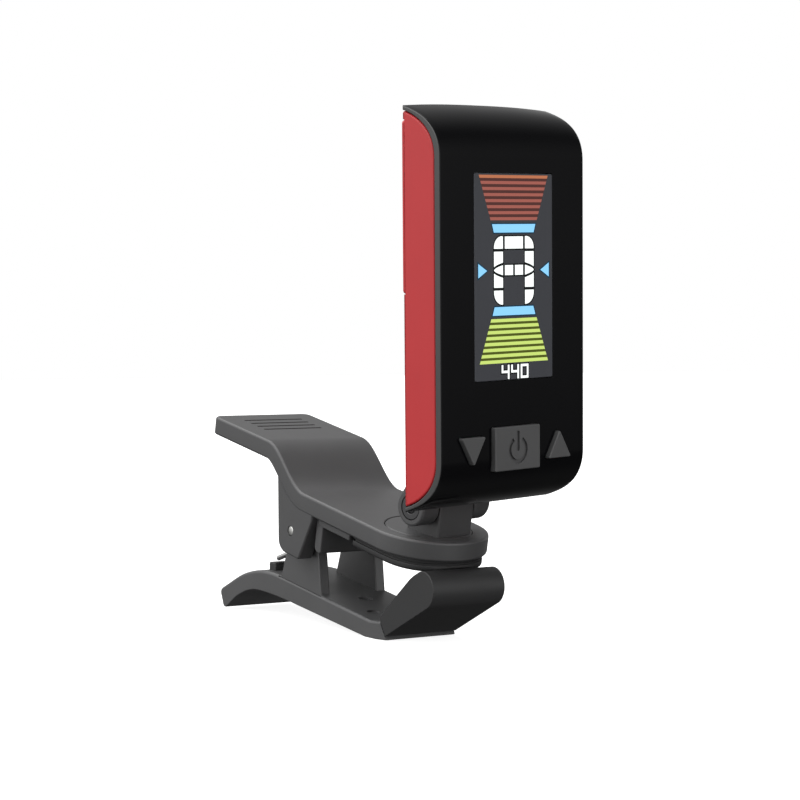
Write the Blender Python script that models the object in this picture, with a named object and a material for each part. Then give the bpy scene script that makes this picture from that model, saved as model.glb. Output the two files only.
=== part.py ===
"""Clip-on tuner: a spring clip, a swivel, a link arm with two tilt hinges, and a display head.

Sizes and places are in millimetres; MM turns them into Blender's metres.
World frame: X across the clip, -Y its front, +Z up, and Z = 0 the surface it stands on.
The origin is the middle of the flat land under the front of the lower jaw.
"""

import math

import bmesh
import bpy
from mathutils import Matrix, Vector

MM = 0.001
GAP = 0.12           # between pieces that touch
FIT = 0.05           # radial clearance of a pin in its bore
OVER = 1.0           # how far a cutter runs past the face it opens

# Lower jaw, in the world's Y and Z
JAW_HALF = 6.2
PIVOT_Y, PIVOT_Z = 21.0, 14.65
LAND_FRONT, LAND_REAR = -1.3, 1.3
LUG_OUTER, LUG_INNER, LUG_RADIUS = 5.9, 4.2, 2.7
TONGUE_HALF, TONGUE_LENGTH, TONGUE_THICK = 4.9, 8.0, 1.6
SEAM_TOP, SEAM_FOOT = (0.3, 3.15), (-1.3, 0.62)
TIP_CENTRE, TIP_RADIUS = (-11.15, 8.35), 2.75
BOOT_TOP_SLOPE, BOOT_FOOT_SLOPE = 30.0, 26.5
BOOT_BACK = ((-2.7, 5.72), (-5.6, 8.0), (-8.0, 9.82))
SEAT_LOW, SEAT_HIGH, SEAT_SUNK = (-4.6, 32.7, 6.5), (-1.8, 34.7, 8.55), 0.1

# Lever, in its own frame: x across, y to the rear, z up from the flat top of the upper jaw
LEVER_Y, LEVER_Z, LEVER_PITCH = -3.65, 16.63, 10.8
LEVER_HALF = 8.9
LEVER_THICK = 2.9
LEVER_REAR = 50.6
STEP_START, STEP_END, STEP_RISE = 21.4, 32.9, 5.6
CHEEK_INNER = 6.35
PAD_RADIUS, PAD_REAR, PAD_THICK = 7.8, 8.5, 1.65
PAD_SQUARENESS, PAD_FACET = 2.5, 20.0
RAIL_INNER, RAIL_OUTER, RAIL_THICK = 6.9, 8.0, 1.15
PIN_RADIUS = 0.75

# Torsion spring round the pivot pin
WIRE_RADIUS = 0.42
COIL_RADIUS = 2.1
COIL_TURNS = 6
COIL_HALF = 3.2

# Swivel, in the lever's frame turned by its rest angle
SWIVEL_TURN = 10.5
DISC_RADIUS, DISC_THICK = 6.4, 1.0
HUB_RADIUS, HUB_FOOT = 2.5, 1.9
BLOCK_HALF, BLOCK_FRONT, BLOCK_REAR = 3.45, 5.3, 1.1
HINGE_FORWARD, HINGE_HEIGHT = 2.6, 4.2

# Link arm, between the two tilt hinges
LINK_LEAN = 6.8
LINK_LENGTH = 14.5
LINK_HALF = 6.9
LINK_LOW_RADIUS, LINK_TOP_RADIUS = 2.75, 1.95
WEB_HALF = 1.35
HINGE_PIN_RADIUS = 0.8
CLIP_RADIUS, CLIP_THICK, CLIP_RECESS = 1.75, 0.3, 0.5

# Head, in its own frame: x across, z up from the upper hinge, y = -depth from the flat back
HEAD_TILT = -16.0
HEAD_STANDOFF = 2.9
HEAD_HALF, HEAD_DEPTH = 14.65, 7.2
HEAD_FOOT, HEAD_TOP = -13.35, 42.9
FACE_RADIUS, FACE_SWEEP = 5.0, 63.0
SHEET = 1.1
SHEET_LIP = 0.5       # its thickness where it ends at the back
WALL = 1.2
WINDOW_HALF, WINDOW_TALL, WINDOW_Z = 7.95, 28.6, 19.05
BUTTON_Z, BUTTON_PROUD, BUTTON_FOOT = -4.9, 0.7, 6.25
POWER_HALF_X, POWER_HALF_Z = 4.6, 3.1
ARROW_X, ARROW_HALF, ARROW_TALL = 8.8, 2.4, 4.0
DOOR_FOOT, DOOR_TOP, DOOR_THICK, DOOR_PROUD = 17.0, 40.9, 1.05, 0.25
DOOR_LIP, DOOR_PLUG_HALF = 0.45, 12.6
CELL_Z, CELL_RADIUS, CELL_THICK = 28.0, 10.0, 3.2
CASE_SCREWS = ((-11.2, -8.6), (11.2, -8.6), (-11.2, 38.2), (11.2, 38.2))
BRACKET_SCREWS = ((-5.2, 3.9), (5.2, 3.9))

PROFILE = Matrix(((0, 0, 1, 0), (1, 0, 0, 0), (0, 1, 0, 0), (0, 0, 0, 1)))   # sketch x, y -> Y, Z
PLAN = Matrix.Identity(4)                                                 # sketch x, y -> X, Y
FRONT = Matrix(((1, 0, 0, 0), (0, 0, -1, 0), (0, 1, 0, 0), (0, 0, 0, 1)))   # sketch x, y -> X, Z


def clear_scene():
    for item in list(bpy.data.objects):
        bpy.data.objects.remove(item, do_unlink=True)


def new_collection(name):
    group = bpy.data.collections.new(name)
    bpy.context.scene.collection.children.link(group)
    return group


def material(name, colour, roughness, metallic=0.0):
    found = bpy.data.materials.get(name)
    if found:
        return found
    made = bpy.data.materials.new(name)
    made.use_nodes = True
    shader = made.node_tree.nodes["Principled BSDF"]
    shader.inputs["Base Color"].default_value = (*colour, 1.0)
    shader.inputs["Roughness"].default_value = roughness
    shader.inputs["Metallic"].default_value = metallic
    return made


def black_plastic():
    return material("black_plastic", (0.055, 0.055, 0.057), 0.45)


def rubber():
    return material("rubber", (0.035, 0.035, 0.037), 0.7)


def gloss_black():
    return material("gloss_black", (0.004, 0.004, 0.005), 0.08)


def red_plastic():
    return material("red_plastic", (0.52, 0.045, 0.05), 0.4)


def steel():
    return material("steel", (0.62, 0.62, 0.6), 0.3, 1.0)


def brass():
    return material("brass", (0.75, 0.55, 0.25), 0.35, 1.0)


def board_green():
    return material("board_green", (0.02, 0.16, 0.07), 0.5)


def chip_black():
    return material("chip_black", (0.02, 0.02, 0.02), 0.55)


def glass():
    return material("glass", (0.045, 0.048, 0.055), 0.12)


def diffuser():
    return material("diffuser", (0.85, 0.87, 0.9), 0.5)


def frame(parent, place=(0, 0, 0), turn=0.0, axis="X"):
    shift = Matrix.Translation(Vector(place) * MM)
    return parent @ shift @ Matrix.Rotation(math.radians(turn), 4, axis)


WORLD = Matrix.Identity(4)
PIVOT = frame(WORLD, (0, PIVOT_Y, PIVOT_Z))
LEVER = frame(WORLD, (0, LEVER_Y, LEVER_Z), LEVER_PITCH)
SWIVEL = frame(LEVER, turn=SWIVEL_TURN, axis="Z")
LINK = frame(SWIVEL, (0, -HINGE_FORWARD, HINGE_HEIGHT), LINK_LEAN)
UPPER = frame(LINK, (0, 0, LINK_LENGTH), HEAD_TILT)
HEAD = frame(UPPER, (0, -HEAD_STANDOFF, 0))


def add_axis(name, matrix, parent=None):
    """An empty on a joint's axis."""
    empty = bpy.data.objects.new(name, None)
    empty.empty_display_size = 5 * MM
    scene_parts.objects.link(empty)
    attach(empty, matrix, parent)
    return empty


def attach(item, matrix, parent):
    if parent:
        item.parent = parent
        item.matrix_parent_inverse = axis_place[parent.name].inverted()
    item.matrix_basis = matrix
    axis_place[item.name] = matrix


def finish(name, mesh, matrix, paint=None, parent=None):
    """Makes a part of the mesh, or a cutter where there is no material."""
    item = bpy.data.objects.new(name, mesh)
    if paint:
        scene_parts.objects.link(item)
        mesh.materials.append(paint)
        mesh.shade_smooth()
        mesh.set_sharp_from_angle(angle=math.radians(35))
    else:
        cutters.objects.link(item)
        item.hide_render = True
        item.display_type = "WIRE"
    attach(item, matrix, parent)
    return item


def extrusion(name, outline, low, high, matrix, plane=PROFILE, paint=None, parent=None):
    """A flat outline swept from low to high along the normal of its plane."""
    curve = bpy.data.curves.new(name, "CURVE")
    curve.dimensions = "2D"
    curve.fill_mode = "BOTH"
    curve.extrude = (high - low) / 2 * MM
    spline = curve.splines.new("POLY")
    spline.points.add(len(outline) - 1)
    for point, (a, b) in zip(spline.points, outline):
        point.co = (a * MM, b * MM, 0, 1)
    spline.use_cyclic_u = True
    sketch = bpy.data.objects.new(name + "_sketch", curve)
    bpy.context.scene.collection.objects.link(sketch)
    mesh = mesh_of(sketch)
    mesh.transform(plane @ Matrix.Translation((0, 0, (low + high) / 2 * MM)))
    mesh.name = name
    return finish(name, mesh, matrix, paint, parent)


def mesh_of(sketch):
    """The closed mesh of a curve object, which is removed."""
    bpy.context.view_layer.update()
    seen = sketch.evaluated_get(bpy.context.evaluated_depsgraph_get())
    mesh = bpy.data.meshes.new_from_object(seen)
    work = bmesh.new()
    work.from_mesh(mesh)
    bmesh.ops.remove_doubles(work, verts=work.verts, dist=1e-7)
    bmesh.ops.recalc_face_normals(work, faces=work.faces)
    work.to_mesh(mesh)
    work.free()
    mesh.materials.clear()
    bpy.data.objects.remove(sketch, do_unlink=True)
    return mesh


def box(name, low, high, matrix, paint=None, parent=None):
    work = bmesh.new()
    bmesh.ops.create_cube(work, size=1.0)
    size = [(b - a) * MM for a, b in zip(low, high)]
    centre = [(a + b) / 2 * MM for a, b in zip(low, high)]
    bmesh.ops.scale(work, vec=size, verts=work.verts)
    bmesh.ops.translate(work, vec=centre, verts=work.verts)
    mesh = bpy.data.meshes.new(name)
    work.to_mesh(mesh)
    work.free()
    return finish(name, mesh, matrix, paint, parent)


def cylinder(name, radius, low, high, centre, matrix, along="X", sides=32, paint=None, parent=None):
    """A cylinder from low to high along an axis, through centre on the two other axes."""
    work = bmesh.new()
    turn = {"X": Matrix.Rotation(math.pi / 2, 4, "Y"), "Y": Matrix.Rotation(-math.pi / 2, 4, "X"),
            "Z": Matrix.Identity(4)}[along]
    bmesh.ops.create_cone(work, cap_ends=True, segments=sides, radius1=radius * MM,
                          radius2=radius * MM, depth=(high - low) * MM)
    middle = (low + high) / 2
    place = {"X": (middle, *centre), "Y": (centre[0], middle, centre[1]), "Z": (*centre, middle)}[along]
    bmesh.ops.transform(work, matrix=Matrix.Translation(Vector(place) * MM) @ turn, verts=work.verts)
    mesh = bpy.data.meshes.new(name)
    work.to_mesh(mesh)
    work.free()
    return finish(name, mesh, matrix, paint, parent)


def combine(target, other, operation):
    step = target.modifiers.new(other.name, "BOOLEAN")
    step.operation = operation
    step.solver = "EXACT"
    step.object = other


def cut(target, *others):
    for other in others:
        combine(target, other, "DIFFERENCE")


def join(target, *others):
    for other in others:
        combine(target, other, "UNION")


def arc(centre, radius, start, end, steps):
    """Points on an arc, with angles in degrees from the sketch's x axis."""
    points = []
    for i in range(steps + 1):
        angle = math.radians(start + (end - start) * i / steps)
        points.append((centre[0] + radius * math.cos(angle), centre[1] + radius * math.sin(angle)))
    return points


def smooth(points, steps=4):
    """A Catmull-Rom curve through the points."""
    padded = [points[0], *points, points[-1]]
    curve = []
    for a, b, c, d in zip(padded, padded[1:], padded[2:], padded[3:]):
        for i in range(steps):
            t = i / steps
            weights = (-t + 2 * t**2 - t**3, 2 - 5 * t**2 + 3 * t**3,
                       t + 4 * t**2 - 3 * t**3, -(t**2) + t**3)
            curve.append(tuple(sum(w * p[k] for w, p in zip(weights, (a, b, c, d))) / 2 for k in (0, 1)))
    return curve + [points[-1]]


def rounded(half_x, half_y, radius, centre=(0, 0), steps=4):
    """A rectangle with round corners."""
    points = []
    for quarter, (sx, sy) in enumerate(((1, 1), (-1, 1), (-1, -1), (1, -1))):
        corner = (centre[0] + sx * (half_x - radius), centre[1] + sy * (half_y - radius))
        points += arc(corner, radius, 90 * quarter, 90 * quarter + 90, steps)
    return points


# ---- Lower jaw ----

def lower_jaw():
    hump = smooth([(27.0, 6.65), (31.2, 7.2), (35.5, 7.2), (40.5, 6.2), (47.6, 3.3)])
    arch = smooth([(45.9, 0.25), (42.0, 2.55), (37.5, 3.9), (32.5, 3.85), (26.0, 3.15)])
    outline = [SEAM_TOP, (0.9, 2.75), (2.9, 2.7), *hump, (48.1, 2.85), (46.4, 0.0), *arch,
               (4.2, 0.05), (LAND_REAR, 0.0), (LAND_FRONT, 0.0), SEAM_FOOT]
    jaw = extrusion("lower_jaw", outline, -JAW_HALF, JAW_HALF, WORLD, paint=black_plastic())
    lug = lug_outline()
    for side, name in ((-1, "left"), (1, "right")):
        low, high = sorted((side * LUG_INNER, side * LUG_OUTER))
        join(jaw, extrusion("lug_" + name, lug, low, high, WORLD))
    tongue = box("tongue", (-TONGUE_HALF, -TONGUE_LENGTH, -TONGUE_THICK / 2),
                 (TONGUE_HALF, 2.2, TONGUE_THICK / 2), tongue_frame())
    join(jaw, tongue)
    room = [a - SEAT_SUNK for a in SEAT_LOW], [a + SEAT_SUNK for a in SEAT_HIGH]
    cut(jaw, box("seat_pocket", *room, WORLD),
        cylinder("lug_bore", PIN_RADIUS + FIT, -JAW_HALF - OVER, JAW_HALF + OVER,
                 (PIVOT_Y, PIVOT_Z), WORLD, sides=24))
    return jaw


def spring_seat():
    """Rubber block under the end of the spring's lower leg."""
    return box("spring_seat", SEAT_LOW, SEAT_HIGH, WORLD, paint=rubber())


def lug_outline():
    crown = arc((PIVOT_Y, PIVOT_Z), LUG_RADIUS, -5, 185, 12)
    return [(16.8, 4.2), (29.2, 6.0), (27.4, 10.3), *crown, (17.5, 10.4)]


def tongue_frame():
    """At the middle of the seam, with -y along the boot's middle line."""
    middle = [(a + b) / 2 for a, b in zip(SEAM_TOP, SEAM_FOOT)]
    rise = math.degrees(math.atan2(TIP_CENTRE[1] - middle[1], middle[0] - TIP_CENTRE[0]))
    return frame(WORLD, (0, *middle), -rise)


def jaw_boot():
    tip = arc(TIP_CENTRE, TIP_RADIUS, 90 - BOOT_TOP_SLOPE, 270 - BOOT_FOOT_SLOPE, 14)
    top = (SEAM_TOP[0] - GAP, SEAM_TOP[1])
    foot = (SEAM_FOOT[0] - GAP, SEAM_FOOT[1])
    boot = extrusion("jaw_boot", [top, *BOOT_BACK, *tip, foot], -JAW_HALF, JAW_HALF, WORLD, paint=rubber())
    half = TONGUE_THICK / 2 + GAP
    cut(boot, box("boot_socket", (-TONGUE_HALF - GAP, -TONGUE_LENGTH - GAP, -half),
                  (TONGUE_HALF + GAP, 3.0, half), tongue_frame()))
    return boot


# ---- Lever with the upper jaw ----

def step_height(s):
    """Height of the lever's top at a distance s behind the swivel."""
    t = min(1.0, max(0.0, (s - STEP_START) / (STEP_END - STEP_START)))
    return STEP_RISE * (3 * t**2 - 2 * t**3)


def step_slope(s):
    t = min(1.0, max(0.0, (s - STEP_START) / (STEP_END - STEP_START)))
    return STEP_RISE * 6 * t * (1 - t) / (STEP_END - STEP_START)


def lever_outline():
    steps = 14
    stations = [STEP_START + (STEP_END - STEP_START) * i / steps for i in range(steps + 1)]
    top = [(s, step_height(s)) for s in stations]
    foot = []
    for s, h in top:
        angle = math.atan(step_slope(s))
        foot.append((s + LEVER_THICK * math.sin(angle), h - LEVER_THICK * math.cos(angle)))
    front, rear = -LEVER_HALF - OVER, LEVER_REAR + OVER
    return [(front, 0.0), *top, (rear, STEP_RISE),
            (rear, STEP_RISE - LEVER_THICK), *reversed(foot), (front, -LEVER_THICK)]


def stadium(radius, rear, corner, steps=20, squareness=2.0):
    """A plan outline with a round front about the swivel and a square rear.

    The front is half a circle at a squareness of 2, and squarer above it.
    """
    back = arc((radius - corner, rear - corner), corner, 0, 90, 4)
    back += arc((corner - radius, rear - corner), corner, 90, 180, 4)
    front = []
    for x, y in arc((0, 0), 1.0, 180, 360, steps):
        power = 2 / squareness
        front.append((math.copysign(radius * abs(x) ** power, x), -radius * abs(y) ** power))
    return back + front


def cheek_outline():
    heel = arc((24.9, -8.3), 2.0, -90, -12, 5)
    return [(17.9, -1.6), (18.2, -3.8), (20.8, -10.3), *heel, (29.2, 0.9), (29.6, 2.0), (24.0, -0.6)]


def upper_lever(parent):
    lever = extrusion("upper_lever", lever_outline(), -LEVER_HALF - OVER, LEVER_HALF + OVER,
                      LEVER, paint=black_plastic(), parent=parent)
    plan = extrusion("lever_plan", stadium(LEVER_HALF, LEVER_REAR, 1.2, 28), -15, 15, LEVER, PLAN)
    combine(lever, plan, "INTERSECT")
    for side, name in ((-1, "left"), (1, "right")):
        low, high = sorted((side * CHEEK_INNER, side * (LEVER_HALF - 0.05)))
        join(lever, extrusion("cheek_" + name, cheek_outline(), low, high, LEVER))
    join(lever, box("stiffener", (-RAIL_OUTER + 0.1, 16.3, -8.2), (RAIL_OUTER - 0.1, 18.1, -0.9), LEVER))
    for side, name in ((-1, "left"), (1, "right")):
        low, high = sorted((side * RAIL_INNER, side * RAIL_OUTER))
        bottom = -LEVER_THICK - RAIL_THICK
        join(lever, box("rail_" + name, (low, PAD_REAR + GAP, bottom), (high, 17.5, -1.0), LEVER))
    cut(lever,
        box("underside_pocket", (-RAIL_INNER, 9.6, -LEVER_THICK - OVER), (RAIL_INNER, 16.3, -1.3), LEVER),
        box("spring_pocket", (-5.2, 17.9, -LEVER_THICK - OVER), (5.2, 22.5, -1.5), LEVER),
        cylinder("disc_recess", DISC_RADIUS + GAP, -DISC_THICK - GAP, OVER, (0, 0), LEVER, "Z", 48),
        cylinder("hub_hole", HUB_RADIUS + GAP, -5, 5, (0, 0), LEVER, "Z", 32),
        cylinder("screw_recess", 4.6, -LEVER_THICK - OVER, -1.85, (0, 0), LEVER, "Z", 32),
        cylinder("cheek_bore", PIN_RADIUS + FIT, -LEVER_HALF - OVER, LEVER_HALF + OVER,
                 (PIVOT_Y, PIVOT_Z), WORLD, sides=24))
    return lever


def jaw_pad(parent):
    low = -LEVER_THICK - GAP - PAD_THICK
    pad = extrusion("jaw_pad", stadium(PAD_RADIUS, PAD_REAR, 1.0, 24, PAD_SQUARENESS), low, low + PAD_THICK,
                    LEVER, PLAN, rubber(), parent)
    cut(pad, box("nose_room", (-9, -6, -5), (9, 6, 0), nose_frame()))
    return pad


def nose_frame():
    """On the facet of the pad that leaves room for the boot's round nose, z pointing into the pad."""
    lean, reach = math.radians(PAD_FACET), TIP_RADIUS + GAP
    place = (0, TIP_CENTRE[0] + reach * math.sin(lean), TIP_CENTRE[1] + reach * math.cos(lean))
    return frame(WORLD, place, -PAD_FACET)


def pivot_pin(parent):
    half = LEVER_HALF - 0.1
    return cylinder("pivot_pin", PIN_RADIUS, -half, half, (0, 0), PIVOT, sides=24,
                    paint=steel(), parent=parent)


def torsion_spring(parent):
    """Coil on the pin, one leg to the rear of the lower jaw and one under the thumb plate."""
    steps = 14
    turns = COIL_TURNS + 0.62
    start = math.radians(-62)
    points = [(-COIL_HALF, 13.0, -5.55)]
    for i in range(int(turns * steps) + 1):
        t = i / (turns * steps)
        angle = start - 2 * math.pi * turns * t
        points.append((-COIL_HALF + 2 * COIL_HALF * t,
                       COIL_RADIUS * math.cos(angle), COIL_RADIUS * math.sin(angle)))
    points.append((COIL_HALF, 4.6, 5.2))
    curve = bpy.data.curves.new("torsion_spring", "CURVE")
    curve.dimensions = "3D"
    curve.bevel_depth = WIRE_RADIUS * MM
    curve.bevel_resolution = 2
    curve.use_fill_caps = True
    spline = curve.splines.new("POLY")
    spline.points.add(len(points) - 1)
    for point, place in zip(spline.points, points):
        point.co = (*(Vector(place) * MM), 1)
    sketch = bpy.data.objects.new("spring_sketch", curve)
    bpy.context.scene.collection.objects.link(sketch)
    return finish("torsion_spring", mesh_of(sketch), PIVOT, steel(), parent)


# ---- Swivel ----

def swivel_base(parent):
    disc = cylinder("swivel_base", DISC_RADIUS, -DISC_THICK, -0.02, (0, 0), SWIVEL, "Z", 48,
                    black_plastic(), parent)
    crown = arc((-HINGE_FORWARD, HINGE_HEIGHT), BLOCK_FRONT - HINGE_FORWARD, 180, 0, 14)
    outline = [(-BLOCK_FRONT, -0.5), *crown, (BLOCK_REAR, 1.6), (BLOCK_REAR, -0.5)]
    join(disc,
         extrusion("hinge_block", outline, -BLOCK_HALF, BLOCK_HALF, SWIVEL),
         cylinder("hub", HUB_RADIUS, -HUB_FOOT, -0.4, (0, 0), SWIVEL, "Z", 32))
    cut(disc,
        cylinder("block_bore", HINGE_PIN_RADIUS + FIT, -9, 9, (-HINGE_FORWARD, HINGE_HEIGHT), SWIVEL, sides=24),
        cylinder("screw_hole", 0.85, -5, -0.1, (0, 0), SWIVEL, "Z", 16))
    return disc


def swivel_washer(parent):
    washer = cylinder("swivel_washer", 4.2, -2.15, -1.95, (0, 0), SWIVEL, "Z", 32, steel(), parent)
    cut(washer, cylinder("washer_hole", 1.0, -5, 5, (0, 0), SWIVEL, "Z", 16))
    return washer


def swivel_screw(parent):
    screw = cylinder("swivel_screw", 1.9, -2.75, -2.2, (0, 0), SWIVEL, "Z", 24, steel(), parent)
    join(screw, cylinder("swivel_shank", 0.75, -2.5, -0.3, (0, 0), SWIVEL, "Z", 16))
    cut(screw, box("swivel_slot", (-1.3, -0.2, -3.5), (1.3, 0.2, -2.5), SWIVEL))
    return screw


# ---- Link arm ----

def link_arm(parent):
    outline = arc((0, 0), LINK_LOW_RADIUS, 155, 385, 22) + [(WEB_HALF, 3.9), (WEB_HALF, 11.7)]
    outline += arc((0, LINK_LENGTH), LINK_TOP_RADIUS, -35, 215, 20) + [(-WEB_HALF, 11.7), (-WEB_HALF, 3.9)]
    arm = extrusion("link_arm", outline, -LINK_HALF, LINK_HALF, LINK, paint=black_plastic(), parent=parent)
    inner = BLOCK_HALF + GAP
    shoulder = LINK_LENGTH - LINK_TOP_RADIUS - 0.7
    bore = HINGE_PIN_RADIUS + FIT
    cut(arm,
        box("fork_slot", (-inner, -6, -6), (inner, 6, 4.9), LINK),
        box("neck_left", (-9, -6, shoulder), (-BLOCK_HALF, 6, 20), LINK),
        box("neck_right", (BLOCK_HALF, -6, shoulder), (9, 6, 20), LINK),
        cylinder("low_bore", bore, -9, 9, (0, 0), LINK, sides=24),
        cylinder("top_bore", bore, -9, 9, (0, LINK_LENGTH), LINK, sides=24))
    for side, name in ((-1, "left"), (1, "right")):
        low, high = sorted((side * (LINK_HALF - CLIP_RECESS), side * (LINK_HALF + OVER)))
        cut(arm, cylinder("clip_recess_" + name, CLIP_RADIUS + GAP, low, high, (0, 0), LINK, sides=24))
    return arm


def hinge_pin(name, matrix, parent, half):
    return cylinder(name, HINGE_PIN_RADIUS, -half, half, (0, 0), matrix, sides=24,
                    paint=steel(), parent=parent)


def retaining_clip(name, side, parent):
    """A C-shaped clip on the end of the lower hinge pin."""
    outline = arc((0, 0), CLIP_RADIUS, 125, 415, 20) + arc((0, 0), HINGE_PIN_RADIUS + 0.15, 415, 125, 14)
    low, high = sorted((side * (LINK_HALF - 0.05), side * (LINK_HALF - 0.05 - CLIP_THICK)))
    return extrusion(name, outline, low, high, LINK, paint=steel(), parent=parent)


# ---- Head ----

def head_outline(inset=0.0, back=0.0, lip=None):
    """The head's side outline, as (-depth, height), moved in by inset on all sides but the back.

    lip is the inset where the outline meets the back, if it is another one.
    """
    radius = FACE_RADIUS - inset
    lean = math.radians(90 - FACE_SWEEP)
    reach = HEAD_DEPTH - FACE_RADIUS * (1 - math.cos(math.radians(FACE_SWEEP)))
    drop = FACE_RADIUS * math.sin(math.radians(FACE_SWEEP)) + reach * math.tan(lean)
    face = -HEAD_DEPTH + FACE_RADIUS
    low, high = HEAD_FOOT + drop, HEAD_TOP - drop
    skirt = (inset if lip is None else lip) / math.cos(lean) - back * math.tan(lean)
    return [(-back, HEAD_TOP - skirt), *arc((face, high), radius, 180 - FACE_SWEEP, 180, 10),
            *arc((face, low), radius, 180, 180 + FACE_SWEEP, 10), (-back, HEAD_FOOT + skirt)]


def front_cover(parent):
    sheet = head_outline() + list(reversed(head_outline(SHEET, lip=SHEET_LIP)))
    cover = extrusion("front_cover", sheet, -HEAD_HALF, HEAD_HALF, HEAD, paint=gloss_black(), parent=parent)
    for number, (x, z) in enumerate(CASE_SCREWS):
        join(cover, cylinder(f"case_boss_{number}", 1.5, -5.75, -2.0, (x, z), HEAD, "Y", 20))
    window = rounded(WINDOW_HALF + GAP, WINDOW_TALL / 2 + GAP, 0.5, (0, WINDOW_Z))
    cut(cover, extrusion("window_cut", window, 5, 9, HEAD, FRONT))
    cut(cover, extrusion("power_cut", rounded(POWER_HALF_X + GAP, POWER_HALF_Z + GAP, 0.5, (0, BUTTON_Z)),
                         5, 9, HEAD, FRONT))
    for side, point_up, name in ((-1, -1, "down"), (1, 1, "up")):
        cut(cover, extrusion(name + "_cut", arrow(side, point_up, GAP * 1.6), 5, 9, HEAD, FRONT))
    for number, (x, z) in enumerate(CASE_SCREWS):
        cut(cover, cylinder(f"case_pilot_{number}", 0.62, -5.0, 0, (x, z), HEAD, "Y", 16))
    return cover


def arrow(side, point_up, grow=0.0):
    """A triangle that points up or down."""
    half = ARROW_HALF + grow * 1.4
    tall = ARROW_TALL / 2 + grow
    x = side * ARROW_X
    corners = [(x - half, BUTTON_Z - point_up * tall), (x + half, BUTTON_Z - point_up * tall),
               (x, BUTTON_Z + point_up * (tall + grow))]
    return corners if point_up > 0 else list(reversed(corners))


def button(name, outline, parent):
    return extrusion(name, outline, BUTTON_FOOT, HEAD_DEPTH + BUTTON_PROUD, HEAD, FRONT, rubber(), parent)


def display_lens(parent):
    outline = rounded(WINDOW_HALF, WINDOW_TALL / 2, 0.4, (0, WINDOW_Z))
    return extrusion("display_lens", outline, HEAD_DEPTH - SHEET, HEAD_DEPTH, HEAD, FRONT, glass(), parent)


def rear_cover(parent):
    outline = head_outline(SHEET + GAP, lip=SHEET_LIP + GAP)
    cover = extrusion("rear_cover", outline, -HEAD_HALF + 0.1, HEAD_HALF - 0.1, HEAD, paint=red_plastic(),
                      parent=parent)
    inner = HEAD_HALF - WALL
    hollow = head_outline(SHEET + GAP + 0.8, WALL)
    cut(cover,
        extrusion("cover_hollow", hollow, -inner, inner, HEAD),
        box("cover_mouth", (-inner, -9, -6.6), (inner, -4.2, 36.2), HEAD),
        box("key_room", (-11.6, -9, BUTTON_Z - POWER_HALF_Z - 0.4), (11.6, -5.4, -5.0), HEAD),
        box("lip_recess", (-20, DOOR_PROUD - DOOR_LIP - 0.1, DOOR_FOOT - GAP), (20, 2, DOOR_TOP + GAP), HEAD),
        box("door_recess", (-DOOR_PLUG_HALF - GAP, -0.9, DOOR_FOOT - GAP),
            (DOOR_PLUG_HALF + GAP, 2, DOOR_TOP + GAP), HEAD))
    shelf = box("cell_shelf", (-inner - 0.3, -1.75, DOOR_FOOT - 2), (inner + 0.3, -0.9, DOOR_TOP - 1.2), HEAD)
    join(cover, shelf)
    for number, (x, z) in enumerate(BRACKET_SCREWS):
        join(cover, cylinder(f"bracket_boss_{number}", 1.4, -2.7, -0.8, (x, z), HEAD, "Y", 20))
    cut(cover, cylinder("cell_hole", CELL_RADIUS + 0.25, -3, 2, (0, CELL_Z), HEAD, "Y", 48))
    for number, (x, z) in enumerate(CASE_SCREWS):
        sunk = screw_back(z)
        cut(cover,
            cylinder(f"boss_room_{number}", 1.5 + GAP, -9, -1.85, (x, z), HEAD, "Y", 20),
            cylinder(f"head_sink_{number}", 1.3, sunk - 0.65, 3, (x, z), HEAD, "Y", 20),
            cylinder(f"shank_hole_{number}", 0.7, -6, 3, (x, z), HEAD, "Y", 16))
    for number, (x, z) in enumerate(BRACKET_SCREWS):
        cut(cover, cylinder(f"bracket_pilot_{number}", 0.6, -2.3, 3, (x, z), HEAD, "Y", 16))
    return cover


def screw_back(z):
    """Where a case screw's head ends: under the door, or just below the back's surface."""
    return -0.95 if DOOR_FOOT < z < DOOR_TOP else -0.1


def screw(name, radius, place, back, head, reach, parent):
    x, z = place
    made = cylinder(name, radius * 2, back - head, back, (x, z), HEAD, "Y", 20, steel(), parent)
    join(made, cylinder(name + "_shank", radius, back - reach, back - head / 2, (x, z), HEAD, "Y", 12))
    slot = head * 0.45
    cut(made, box(name + "_slot", (x - radius * 1.4, back - slot, z - 0.15),
                  (x + radius * 1.4, back + 1, z + 0.15), HEAD))
    return made


def battery_door(parent):
    door = box("battery_door", (-HEAD_HALF + 0.1, DOOR_PROUD - DOOR_LIP, DOOR_FOOT),
               (HEAD_HALF - 0.1, DOOR_PROUD, DOOR_TOP), HEAD, red_plastic(), parent)
    join(door, box("door_plug", (-DOOR_PLUG_HALF, DOOR_PROUD - DOOR_THICK, DOOR_FOOT + 0.1),
                   (DOOR_PLUG_HALF, 0.1, DOOR_TOP - 0.1), HEAD))
    cut(door, cylinder("coin_slot", 0.7, -3.2, 3.2, (DOOR_PROUD + 0.35, DOOR_FOOT + 3.4), HEAD, "X", 20))
    return door


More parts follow.
